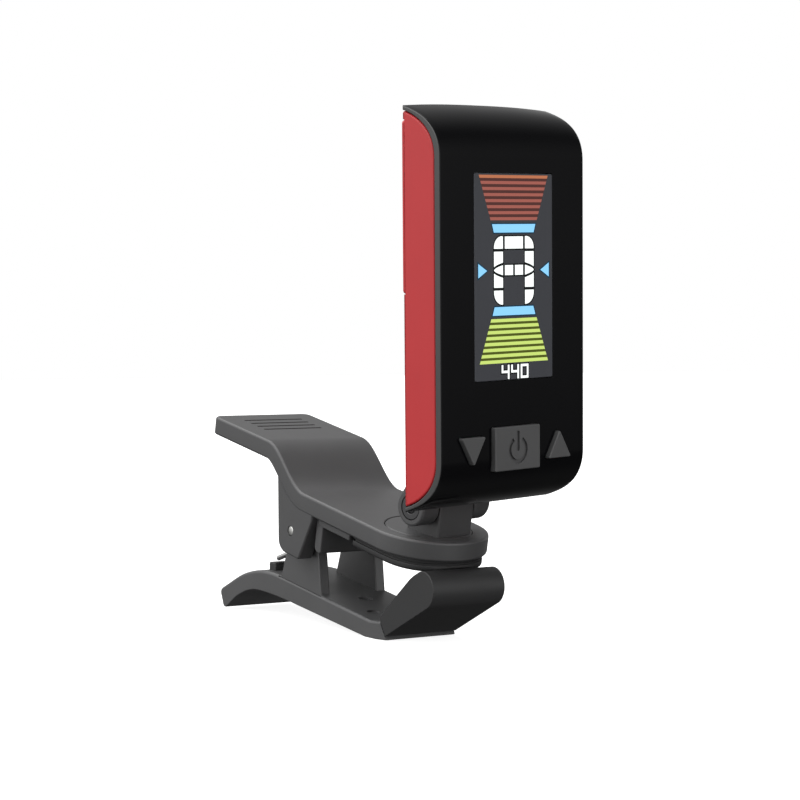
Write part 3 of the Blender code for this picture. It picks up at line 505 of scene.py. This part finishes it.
def lever(paint):
    """Upper jaw with cheeks, rib and rails, the rubber pad under it, and the pivot pin."""
    outline, half = stadium(LEVER_HALF, LEVER_REAR, 1.3)
    body = slab("lever_moulding", outline, -LEVER_THICK, 0, LEVER, PLAN, rim=0.4, steps=4, spine=half,
                bend=bent)
    cheek = fillet([(17.9, -1.2, 0), (18.2, -3.8, 0.8), (20.9, -10.3, 0.5), (26.9, -10.3, 2.2),
                    (29.2, 0.9, 0.4), (29.6, 2.0, 0), (24.0, -0.2, 0)], 0.4)
    cheeks = pair("cheek", cheek, CHEEK_INNER, LEVER_HALF - 0.05, LEVER, rim=0.28)
    brace = fillet([(16.3, -0.9, 0), (16.3, -8.2, 0.3), (18.1, -8.2, 0.9), (18.1, -0.9, 0)])
    rib = slab("rib", brace, -RAIL_OUTER + 0.1, RAIL_OUTER - 0.1, LEVER, rim=0.2)
    rails = [block("rail_" + side, (low, PAD_REAR + GAP, -LEVER_THICK - RAIL_THICK),
                   (low + RAIL_OUTER - RAIL_INNER, 17.5, -1.0), LEVER, 0.15)
             for side, low in (("left", -RAIL_OUTER), ("right", RAIL_INNER))]
    fuse(body, *cheeks, rib, *rails)
    edge = DISC_RADIUS + GAP
    recess = [(0, -DISC_THICK - GAP), (edge, -DISC_THICK - GAP), (edge, -0.12), (edge + 0.16, 0.04),
              (edge + 0.16, 1), (0, 1)]
    grooves = []
    for number in range(GRIP_COUNT):
        outline = rectangle(GRIP_HALF, 0.32, (0, GRIP_START + GRIP_PITCH * number), 0.3)
        grooves.append(slab(f"groove_{number}", outline, STEP_RISE - GRIP_DEPTH, STEP_RISE + 1, LEVER, PLAN,
                            rim=(0.12, 0)))
    cut(body,
        block("underside_pocket", (-6.9, 9.6, -LEVER_THICK - 2), (6.9, 16.3, -1.3), LEVER, 0.3),
        block("spring_pocket", (-5.2, 17.9, -LEVER_THICK - 1), (5.2, 22.5, -1.5), LEVER, 0.3),
        lathe("disc_recess", recess, LEVER, sides=96),
        rod("hub_hole", HUB_RADIUS + GAP, -5, 5, LEVER, "Z", rim=0),
        rod("screw_recess", 4.6, -LEVER_THICK - 1, -1.85, LEVER, "Z", rim=0),
        bore("cheek_bore", PIN_RADIUS, WORLD, (PIVOT_Y, PIVOT_Z)),
        *grooves)
    settle(body, "lever", paint["plastic"], ["upper_lever"])

    high = -LEVER_THICK - GAP
    low = high - PAD_THICK
    outline, _ = stadium(PAD_RADIUS, PAD_REAR, 1.0, squareness=PAD_SQUARENESS)
    neck, _ = stadium(PAD_RADIUS - 0.22, PAD_REAR - 0.2, 1.0, squareness=PAD_SQUARENESS)
    pad = slab("clamp_pad", outline, low, low + 0.95, LEVER, PLAN, rim=(0.35, 0.12), steps=4)
    fuse(pad, slab("pad_neck", neck, low + 0.5, high + GAP, LEVER, PLAN),
         slab("pad_top", outline, high - 0.42, high + GAP, LEVER, PLAN, rim=(0.12, 0)))
    lean, reach = math.radians(PAD_FACET), TIP_RADIUS + GAP
    nose = placed(WORLD, (0, TIP_CENTRE[0] + reach * math.sin(lean), TIP_CENTRE[1] + reach * math.cos(lean)),
                  -PAD_FACET)
    cut(pad, block("nose_room", (-9, -6, -5), (9, 6, 0), nose))
    settle(pad, "lever", paint["rubber"], ["jaw_pad"])

    pin = rod("pivot_rivet", PIN_RADIUS, -LEVER_HALF + 0.1, LEVER_HALF - 0.1, PIVOT, rim=0.15)
    settle(pin, "lever", paint["steel"], ["pivot_pin"])


def torsion_spring(paint):
    """Coil on the pin, with one leg to the lower jaw and the other to the lever."""
    start = math.radians(COIL_START)
    points = [(-COIL_HALF, *LOW_LEG_END)]
    count = int(COIL_TURNS * 36)
    for i in range(count + 1):
        t = i / count
        angle = start - 2 * math.pi * COIL_TURNS * t
        points.append((-COIL_HALF + 2 * COIL_HALF * t,
                       COIL_RADIUS * math.cos(angle), COIL_RADIUS * math.sin(angle)))
    points.append((COIL_HALF, *HIGH_LEG_END))
    curve = bpy.data.curves.new("coil_path", "CURVE")
    curve.dimensions = "3D"
    curve.bevel_depth = WIRE_RADIUS * MM
    curve.bevel_resolution = 4
    curve.use_fill_caps = True
    spline = curve.splines.new("POLY")
    spline.points.add(len(points) - 1)
    for point, place in zip(spline.points, points):
        point.co = (*((PIVOT @ Vector(place)) * MM), 1)
    sketch = bpy.data.objects.new("coil_path", curve)
    bpy.context.scene.collection.objects.link(sketch)
    seen = sketch.evaluated_get(bpy.context.evaluated_depsgraph_get())
    mesh = bpy.data.meshes.new_from_object(seen)
    bpy.data.objects.remove(sketch, do_unlink=True)
    mesh.materials.clear()
    mesh.materials.append(paint["wire"])
    mesh.shade_smooth()
    mesh.set_sharp_from_angle(angle=math.radians(50))
    spring = bpy.data.objects.new("coil_spring", mesh)
    bpy.context.scene.collection.objects.link(spring)
    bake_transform(spring)
    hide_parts("torsion_spring")


# ---- Swivel and link arm ----

def swivel(paint):
    """Disc with the lower hinge's knuckle, and the screw that holds it from below."""
    disc = [(0, -DISC_THICK), (DISC_RADIUS, -DISC_THICK), (DISC_RADIUS, -DISC_SUNK - 0.1),
            (DISC_RADIUS - 0.1, -DISC_SUNK), (0, -DISC_SUNK)]
    body = lathe("swivel_disc", disc, SWIVEL, sides=96)
    crown = arc((-HINGE_FORWARD, HINGE_HEIGHT), BLOCK_FRONT - HINGE_FORWARD, 180, 0, 24)
    outline = fillet([(-BLOCK_FRONT, -0.6, 0), *crown, (BLOCK_REAR, 1.6, 0.6), (BLOCK_REAR, -0.6, 0)], 0.5)
    fuse(body, slab("knuckle", outline, -BLOCK_HALF, BLOCK_HALF, SWIVEL, rim=0.25, steps=4),
         rod("hub", HUB_RADIUS, -HUB_FOOT, -0.4, SWIVEL, "Z"))
    cut(body, rod("screw_hole", 0.85, -5, -1.0, SWIVEL, "Z", rim=0))
    settle(body, "swivel", paint["arm"], ["swivel_base"])

    head = [(0, -2.75), (1.4, -2.75), (1.75, -2.65), (1.9, -2.45), (1.9, -2.2), (0.75, -2.2), (0.75, -0.4),
            (0, -0.4)]
    screw = lathe("swivel_machine_screw", head, SWIVEL)
    cut(screw, *[block("slot", (-x, -y, -3.5), (x, y, -2.5), SWIVEL) for x, y in ((1.5, 0.2), (0.2, 1.5))])
    settle(screw, "swivel", paint["steel"], ["swivel_screw"])


def link_arm(paint):
    """Arm with a leg either side of the knuckle, the lower pin, and its two ring clips."""
    shoulder = LINK_LENGTH - LINK_TOP_RADIUS - 0.7
    low_end = arc((0, 0), LINK_LOW_RADIUS, 155, 385, 34)
    leg = fillet([*low_end, (WEB_HALF, 3.9), (WEB_HALF, shoulder), (-WEB_HALF, shoulder), (-WEB_HALF, 3.9)],
                 0.7)
    top_end = arc((0, LINK_LENGTH), LINK_TOP_RADIUS, -35, 215, 32)
    core = fillet([(WEB_HALF, 5.0), (WEB_HALF, 11.7), *top_end, (-WEB_HALF, 11.7), (-WEB_HALF, 5.0)], 0.5)
    body = slab("arm_core", core, -BLOCK_HALF, BLOCK_HALF, LINK, rim=0.25)
    sides = pair("arm", leg, BLOCK_HALF + GAP, LINK_HALF, LINK, rim=0.38, steps=4)
    bridge = rectangle(WEB_HALF - 0.12, 3.1, (0, 8.1), 0.4)
    fuse(body, *sides, slab("bridge", bridge, -4.6, 4.6, LINK))
    recesses = [rod("recess_" + side, CLIP_RADIUS + GAP, low, low + CLIP_RECESS + 1, LINK, rim=0)
                for side, low in (("left", -LINK_HALF - 1), ("right", LINK_HALF - CLIP_RECESS))]
    cut(body, *recesses, bore("top_bore", HINGE_PIN_RADIUS, LINK, (0, LINK_LENGTH)))
    settle(body, "link", paint["arm"], ["link_arm"])

    pin = rod("lower_pin", HINGE_PIN_RADIUS, -LINK_HALF + 0.15, LINK_HALF - 0.15, LINK, rim=0.15)
    settle(pin, "link", paint["dark_steel"], ["lower_hinge_pin"])
    ring = arc((0, 0), CLIP_RADIUS, 125, 415, 40) + arc((0, 0), HINGE_PIN_RADIUS + 0.15, 415, 125, 30)
    outer = LINK_HALF - 0.05
    for clip in pair("ring_clip", ring, outer - CLIP_THICK, outer, LINK, rim=0.08):
        settle(clip, "link", paint["dark_steel"], [clip.name.removeprefix("ring_")])


# ---- Head ----

def head_outline(inset_by=0.0, back=0.0, lip=None):
    """The head's side outline, as (-depth, height), moved in on all sides but the back.

    lip is the inset where the outline meets the back, if it is another one.
    """
    face = HEAD_DEPTH - inset_by
    skirt = (inset_by if lip is None else lip) + 0.12 * inset_by + back * END_SLOPE
    reach = 3.4 - 0.5 * inset_by
    fall = [(back, skirt), (back + reach, skirt + reach * END_SLOPE),
            (face, END_DROP - 4.7 + 0.75 * inset_by), (face, END_DROP)]
    curve = []
    for step in range(31):
        t = step / 30
        shares = ((1 - t) ** 3, 3 * t * (1 - t) ** 2, 3 * t * t * (1 - t), t**3)
        curve.append([sum(share * point[axis] for share, point in zip(shares, fall)) for axis in (0, 1)])
    return ([(-depth, HEAD_TOP - drop) for depth, drop in curve]
            + [(-depth, HEAD_FOOT + drop) for depth, drop in reversed(curve)])


def crowned(place):
    """Bulges the middle of the head's curved top and foot a little."""
    across = 1 - abs(place.z / HEAD_HALF) ** 2.6
    top = min(1.0, max(0.0, (place.y - HEAD_TOP) / CROWN_REACH + 1))
    foot = min(1.0, max(0.0, (HEAD_FOOT - place.y) / CROWN_REACH + 1))
    return Vector((place.x, place.y + across * (CROWN_TOP * top - CROWN_FOOT * foot), place.z))


def arrow(side, point_up, grow=0.0):
    """A triangle that points up or down."""
    half = ARROW_HALF + grow * 1.4
    tall = ARROW_TALL / 2 + grow
    x = side * ARROW_X
    return [(x - half, BUTTON_Z - point_up * tall), (x + half, BUTTON_Z - point_up * tall),
            (x, BUTTON_Z + point_up * (tall + grow))]


def front_cover(paint):
    """One bent sheet over the head's front, top and foot. Its cut edges are less glossy."""
    sheet = head_outline() + list(reversed(head_outline(SHEET, lip=SHEET_LIP)))
    cover = slab("face_sheet", sheet, -HEAD_HALF, HEAD_HALF, HEAD, rim=0.2, steps=4, bend=crowned, between=19)
    openings = (rectangle(WINDOW_HALF + GAP, WINDOW_TALL / 2 + GAP, (0, WINDOW_Z), 0.4),
                rectangle(POWER_HALF_X + GAP, POWER_HALF_Z + GAP, (0, BUTTON_Z), 0.3),
                fillet(arrow(-1, -1, GAP * 1.3), 0.28), fillet(arrow(1, 1, GAP * 1.3), 0.28))
    cut(cover, *[slab("opening", outline, 5, 9, HEAD, FRONT) for outline in openings])
    settle(cover, "head", paint["gloss"], ["front_cover"])
    cover.data.materials.append(paint["edge"])
    sideways = (HEAD.to_3x3() @ Vector((1, 0, 0))).normalized()
    for face in cover.data.polygons:
        if abs(face.normal.dot(sideways)) > 0.6:
            face.material_index = 1


def keys(paint):
    """Two arrow keys and the power key, with its sign sunk in."""
    foot, top = BUTTON_FOOT, HEAD_DEPTH + BUTTON_PROUD
    for name, side, point_up in (("down", -1, -1), ("up", 1, 1)):
        key = slab("cap_button_" + name, fillet(arrow(side, point_up), 0.2), foot, top, HEAD, FRONT,
                   rim=(0, 0.16))
        settle(key, "key_" + name, paint["keys"], ["button_" + name])
    key = slab("cap_button_power", rectangle(POWER_HALF_X, POWER_HALF_Z, (0, BUTTON_Z), 0.24), foot, top,
               HEAD, FRONT, rim=(0, 0.18))
    middle = (0, BUTTON_Z - 0.25)
    ring = arc(middle, 1.95, 120, 420, 48) + arc(middle, 1.38, 420, 120, 40)
    bar = rectangle(0.3, 1.45, (0, BUTTON_Z + 1.0), 0.25)
    cut(key, slab("power_ring", ring, top - SIGN_DEPTH, top + 1, HEAD, FRONT),
        slab("power_bar", bar, top - SIGN_DEPTH, top + 1, HEAD, FRONT))
    settle(key, "key_power", paint["keys"], ["button_power"])


def display(paint):
    """The window, and what it shows as thin lit layers: bars, marks, a note letter and the pitch."""
    lens = slab("window_glass", rectangle(WINDOW_HALF, WINDOW_TALL / 2, (0, WINDOW_Z), 0.3),
                HEAD_DEPTH - SHEET, HEAD_DEPTH, HEAD, FRONT, rim=(0, 0.06))
    settle(lens, "head", paint["glass"], ["display_lens"])

    def mirrored(outline):
        return [(-x, z) for x, z in reversed(outline)]

    def bars(top, pitch, thick, first_half, last_half):
        """Eight bars that grow or shrink evenly from the top one down."""
        slope = (last_half - first_half) / (7 * pitch)
        made = []
        for i in range(8):
            z = top - pitch * i
            upper = first_half + slope * (pitch * i - thick / 2)
            lower = first_half + slope * (pitch * i + thick / 2)
            made.append([(-upper, z + thick / 2), (upper, z + thick / 2),
                         (lower, z - thick / 2), (-lower, z - thick / 2)])
        return made

    red = bars(33.12, 0.835, 0.42, 6.95, 4.78)
    green = bars(13.1, 0.82, 0.46, 4.72, 6.9)
    upper = [(-4.42, 26.52), (4.42, 26.52), (4.05, 25.35), (-4.05, 25.35)]
    lower = [(-3.95, 14.98), (3.95, 14.98), (4.36, 13.8), (-4.36, 13.8)]
    pointer = [(-7.2, 21.05), (-7.2, 19.05), (-5.45, 20.05)]
    blue = [upper, lower, pointer, mirrored(pointer)]
    corner = [(-2.25, 24.8), *arc((-2.45, 23.25), 1.6, 90, 180, 8), (-4.05, 23.1), (-2.25, 23.1)]
    leaf = [(-2.25 - 1.8 * (1 - abs(t / 6) ** 1.7), 20.11 + 0.7 * t / 6) for t in range(6, -7, -1)]
    over = [(x, z + 0.36) for x, z in leaf[:6]]
    under = [(x, z - 0.36) for x, z in leaf[-6:]]
    upright = [(-4.05, over[-1][1]), (-4.05, 22.7), (-2.25, 22.7), *over]
    cell = [(-1.85, 20.81), (-0.19, 20.81), (-0.19, 19.41), (-1.85, 19.41)]
    post = [*under, (-2.25, 17.68), (-4.05, 17.68), (-4.05, under[0][1])]
    foot = [(-2.25, 17.28), (-4.05, 17.28), *arc((-2.35, 17.0), 1.7, 180, 270, 8), (-2.25, 15.3)]
    letter = [corner, upright, leaf, cell, post, foot]
    letter += [mirrored(s) for s in letter]
    letter.append([(-1.85, 24.8), (1.85, 24.8), (1.85, 23.1), (-1.85, 23.1)])
    letter += digits()

    def bed(first, last):
        """The field behind the bars, from the first bar to the last."""
        (left, high), (right, low) = first[0], last[2]
        return [(left, high), (-left, high), (right, low), (-right, low)]

    depth = HEAD_DEPTH + LAYER
    halos = {"blue_marks": (0.17, (0.006, 0.045, 0.08)), "characters": (0.2, (0.006, 0.007, 0.008))}
    columns = [[(x - 0.15, high), (x + 0.15, high), (x + 0.15, low), (x - 0.15, low)]
               for x in (-2.05, 2.05) for high, low in ((24.8, 23.1), (20.81, 19.41))]
    for name, shapes, layers, glow in (
            ("amber_bar", red[:1], 2, (0.5, 0.17, 0.08, 0.75)),
            ("red_bars", red[1:], 2, (0.36, 0.11, 0.085, 0.75)),
            ("green_bars", green, 2, (0.58, 0.74, 0.18, 0.8)),
            ("red_bed", [bed(red[0], red[-1])], 1, (0.085, 0.03, 0.026, 0.7)),
            ("green_bed", [bed(green[0], green[-1])], 1, (0.08, 0.1, 0.012, 0.7)),
            ("blue_marks", blue, 2, (0.26, 0.62, 0.95, 0.85)),
            ("characters", letter, 2, (0.95, 1.0, 0.98, 0.95)),
            ("letter_gaps", columns, 1, (0.006, 0.007, 0.008, 0.1))):
        if name in halos:
            grow, shade = halos[name]
            dark = merged("dark_" + name, [slab("shade", inset(anticlockwise(s), -grow), depth,
                                                depth + 0.75 * LAYER, HEAD, FRONT) for s in shapes])
            settle(dark, "head", material("dark_" + name, shade, 0.25, 0.5, 0.0, specular=0.2))
        lit = merged("lit_" + name, [slab("lit", s, depth, depth + layers * LAYER, HEAD, FRONT)
                                     for s in shapes])
        colour = [c * 0.35 for c in glow[:3]]
        settle(lit, "head",
               material("lit_" + name, colour, 0.2, 0.4, 0.0, 0.08, specular=0.2, glow=glow))


def digits():
    """The pitch in hertz, in seven-segment numerals."""
    wide, tall, stroke, pitch = 1.6, 2.0, 0.34, 1.95
    left, foot = -2.6, 4.85
    four = [(0, tall), (0, 0.86), (wide - stroke, 0.86), (wide - stroke, 0), (wide, 0), (wide, tall),
            (wide - stroke, tall), (wide - stroke, 0.86 + stroke), (stroke, 0.86 + stroke), (stroke, tall)]
    ring = [[(0, 0), (wide, 0), (wide - stroke, stroke), (stroke, stroke)],
            [(wide, 0), (wide, tall), (wide - stroke, tall - stroke), (wide - stroke, stroke)],
            [(wide, tall), (0, tall), (stroke, tall - stroke), (wide - stroke, tall - stroke)],
            [(0, tall), (0, 0), (stroke, stroke), (stroke, tall - stroke)]]
    shapes = []
    for place, strokes in enumerate(([four], [four], ring)):
        for outline in strokes:
            shapes.append([(left + pitch * place + x, foot + z) for x, z in outline])
    return shapes


def screw_level(z):
    """Where a case screw's head ends: under the battery door, or just below the cover's back."""
    return -0.95 if DOOR_FOOT < z < DOOR_TOP else -0.1


def rear_cover(paint):
    """Red shell, open at the front and at the battery, and the battery door."""
    shell = fillet(head_outline(SHEET + GAP, lip=SHEET_LIP + GAP), 0.35)
    cover = slab("back_shell", shell, -HEAD_HALF + 0.1, HEAD_HALF - 0.1, HEAD, rim=0.3, steps=4, bend=crowned,
                 between=19)
    inner = HEAD_HALF - WALL
    hollow = head_outline(SHEET + GAP + 0.8, WALL)
    cut(cover,
        slab("hollow", hollow, -inner, inner, HEAD),
        block("mouth", (-inner, -9, -8.7), (inner, -4.2, 36.2), HEAD),
        block("lip_recess", (-20, DOOR_PROUD - DOOR_LIP - 0.1, DOOR_FOOT - 0.08),
              (20, 2, DOOR_TOP + 0.08), HEAD),
        block("door_recess", (-DOOR_PLUG_HALF - GAP, -0.9, DOOR_FOOT - 0.08),
              (DOOR_PLUG_HALF + GAP, 2, DOOR_TOP + 0.08), HEAD))
    fuse(cover, block("shelf", (-inner - 0.3, -1.75, DOOR_FOOT - 2), (inner + 0.3, -0.9, DOOR_TOP - 1.2),
                      HEAD))
    holes = [rod("cell_hole", CELL_RADIUS + 0.25, -3, 2, HEAD, "Y", (0, CELL_Z), rim=0, sides=96)]
    for x, z in CASE_SCREWS:
        holes.append(rod("sink", 1.3, screw_level(z) - 0.65, 3, HEAD, "Y", (x, z), rim=0))
    cut(cover, *holes)
    settle(cover, "head", paint["red"], ["rear_cover"])

    lip = rectangle(HEAD_HALF - 0.1, (DOOR_TOP - DOOR_FOOT) / 2, (0, (DOOR_TOP + DOOR_FOOT) / 2), 0.5)
    door = slab("battery_hatch", lip, -DOOR_PROUD, DOOR_LIP - DOOR_PROUD, HEAD, FRONT, rim=(0.18, 0))
    fuse(door, block("hatch_plug", (-DOOR_PLUG_HALF, DOOR_PROUD - DOOR_THICK, DOOR_FOOT + 0.1),
                     (DOOR_PLUG_HALF, 0.1, DOOR_TOP - 0.1), HEAD))
    grooves = [rod("finger_groove", radius, -half, half, HEAD, "X", (DOOR_PROUD + out, DOOR_FOOT + up))
               for radius, half, out, up in ((0.7, 3.2, 0.35, 3.4), (0.45, 2.2, 0.3, 5.2),
                                             (0.45, 2.2, 0.3, 6.6))]
    cut(door, *grooves)
    settle(door, "door", paint["red"], ["battery_door"])


def hinge_bracket(paint):
    """Plate on the head's back with two ears, and the upper pin."""
    base = slab("bracket_plate", rectangle(7.2, 5.0, (0, 0), 1.2), -0.62, -GAP, HEAD, FRONT, rim=(0.15, 0))
    lug = arc((HEAD_STANDOFF, 0), LINK_TOP_RADIUS, -100, 100, 26) + [(0.3, 2.6), (0.3, -2.6)]
    fuse(base, *pair("ear", lug, BLOCK_HALF + GAP, LINK_HALF, HEAD, rim=0.28, steps=4))
    cut(base, bore("bracket_bore", HINGE_PIN_RADIUS, HEAD, (HEAD_STANDOFF, 0)))
    settle(base, "head", paint["arm"], ["hinge_bracket"])
    pin = rod("upper_pin", HINGE_PIN_RADIUS, -LINK_HALF, LINK_HALF, UPPER, rim=0.15)
    settle(pin, "head", paint["steel"], ["upper_hinge_pin"])


def screws(paint):
    """Pan-head screws with a cross recess."""
    kinds = [(f"case_screw_{n}", 0.55, place, screw_level(place[1]), 0.5, 3.8)
             for n, place in enumerate(CASE_SCREWS, 1)]
    kinds += [(f"bracket_screw_{n}", 0.5, place, 1.15, 0.45, 3.2)
              for n, place in enumerate(BRACKET_SCREWS, 1)]
    for name, radius, (x, z), back, head, reach in kinds:
        wide = radius * 2
        profile = [(0, back - reach), (radius, back - reach), (radius, back - head), (wide, back - head),
                   (wide, back - head * 0.45), (wide * 0.85, back - head * 0.12), (radius, back), (0, back)]
        screw = lathe("threaded_" + name, profile, HEAD, "Y", (x, z), 32)
        sunk, arm = back - head * 0.45, radius * 1.3
        cut(screw, *[block("slot", (x - across, sunk, z - up), (x + across, back + 1, z + up), HEAD)
                     for across, up in ((arm, 0.13), (0.13, arm))])
        settle(screw, "head", paint["steel"], [name])


def inside(paint):
    """Materials of the CAD nodes that stay."""
    table = {"steel": ("swivel_washer", "coin_cell", "negative_contact", "positive_contact", "clock_crystal"),
             "board": ("main_board",), "brass": ("piezo_sensor",), "glass": ("lcd_panel",),
             "chip": ("tuner_chip", "switch_down", "switch_power", "switch_up"),
             "rubber": ("lcd_connector",), "diffuser": ("light_guide", "display_frame")}
    for kind, names in table.items():
        for name in names:
            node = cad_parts[name]
            for slot in node.material_slots:
                slot.material = paint[kind]


# ---- Studio ----

def studio():
    """White floor that only the camera sees, light from the sky and two lamps, and the photo's camera."""
    floor = slab("studio_floor", rectangle(1500, 1500, (0, 0), 300), -4, -0.02, WORLD, PLAN, rim=(0, 1))
    floor.data.materials.append(material("pale_floor", (0.5, 0.5, 0.5), 0.8, 3, 0.0, 0.01, specular=0.0,
                                         glow=(1, 1, 1, 0.86)))
    floor.visible_diffuse = False
    floor.visible_glossy = False

    world = bpy.data.worlds.new("studio_light")
    bpy.context.scene.world = world
    world.use_nodes = True
    nodes, links = world.node_tree.nodes, world.node_tree.links
    place = nodes.new("ShaderNodeTexCoord")

    def compute(operation, a, b):
        node = nodes.new("ShaderNodeMath")
        node.operation = operation
        for socket, value in zip(node.inputs, (a, b)):
            if isinstance(value, float):
                socket.default_value = value
            else:
                links.new(value, socket)
        return node.outputs[0]

    def towards(direction):
        """Cosine of the angle from a direction, never below zero."""
        node = nodes.new("ShaderNodeVectorMath")
        node.operation = "DOT_PRODUCT"
        links.new(place.outputs["Generated"], node.inputs[0])
        node.inputs[1].default_value = Vector(direction).normalized()
        return compute("MAXIMUM", node.outputs["Value"], 0.0)

    light = compute("ADD", 0.0, SKY_BASE)
    for direction, power, strength in SKY:
        lobe = compute("POWER", towards(direction), power)
        light = compute("ADD", light, compute("MULTIPLY", lobe, strength))
    split = nodes.new("ShaderNodeSeparateXYZ")
    links.new(place.outputs["Generated"], split.inputs["Vector"])
    horizon = nodes.new("ShaderNodeMapRange")
    horizon.interpolation_type = "SMOOTHSTEP"
    links.new(split.outputs["Z"], horizon.inputs["Value"])
    horizon.inputs["From Min"].default_value = -0.22
    horizon.inputs["From Max"].default_value = 0.04
    horizon.inputs["To Min"].default_value = 0.3
    light = compute("MULTIPLY", light, horizon.outputs["Result"])
    path = nodes.new("ShaderNodeLightPath")
    backdrop = nodes["Background"]
    backdrop.inputs["Color"].default_value = (1, 1, 1, 1)
    links.new(compute("MAXIMUM", light, path.outputs["Is Camera Ray"]), backdrop.inputs["Strength"])

    def lamp(name, place, target, size, power):
        data = bpy.data.lights.new(name, "AREA")
        data.shape = "RECTANGLE"
        data.size, data.size_y = size
        data.energy = power
        item = bpy.data.objects.new(name, data)
        item.location = place
        aim = Vector(target) - Vector(place)
        item.rotation_euler = aim.to_track_quat("-Z", "Y").to_euler()
        bpy.context.scene.collection.objects.link(item)

    lamp("overhead", (-0.1, 0.3, 0.7), (0, 0, 0.02), (0.8, 0.8), 3.0)
    lamp("left", (-0.75, -0.1, 0.3), (0, 0, 0.03), (0.35, 0.6), 0.8)

    data = bpy.data.cameras.new("view")
    data.sensor_width = 36
    data.lens = CAMERA_LENS
    data.clip_start = 0.01
    camera = bpy.data.objects.new("view", data)
    camera.location = CAMERA_PLACE
    camera.rotation_euler = (math.radians(90 - CAMERA_DOWN), 0, math.radians(CAMERA_TURN))
    bpy.context.scene.collection.objects.link(camera)
    bpy.context.scene.camera = camera
    bpy.context.scene.view_settings.view_transform = "Standard"


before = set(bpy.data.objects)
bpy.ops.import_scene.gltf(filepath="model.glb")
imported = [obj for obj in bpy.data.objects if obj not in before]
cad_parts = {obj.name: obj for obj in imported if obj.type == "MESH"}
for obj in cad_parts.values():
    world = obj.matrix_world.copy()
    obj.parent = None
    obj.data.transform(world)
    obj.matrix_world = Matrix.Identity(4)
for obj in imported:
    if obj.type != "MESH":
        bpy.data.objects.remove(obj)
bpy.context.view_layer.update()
paint = paints()
lower_jaw(paint)
lever(paint)
torsion_spring(paint)
swivel(paint)
link_arm(paint)
front_cover(paint)
keys(paint)
display(paint)
rear_cover(paint)
hinge_bracket(paint)
screws(paint)
inside(paint)
studio()
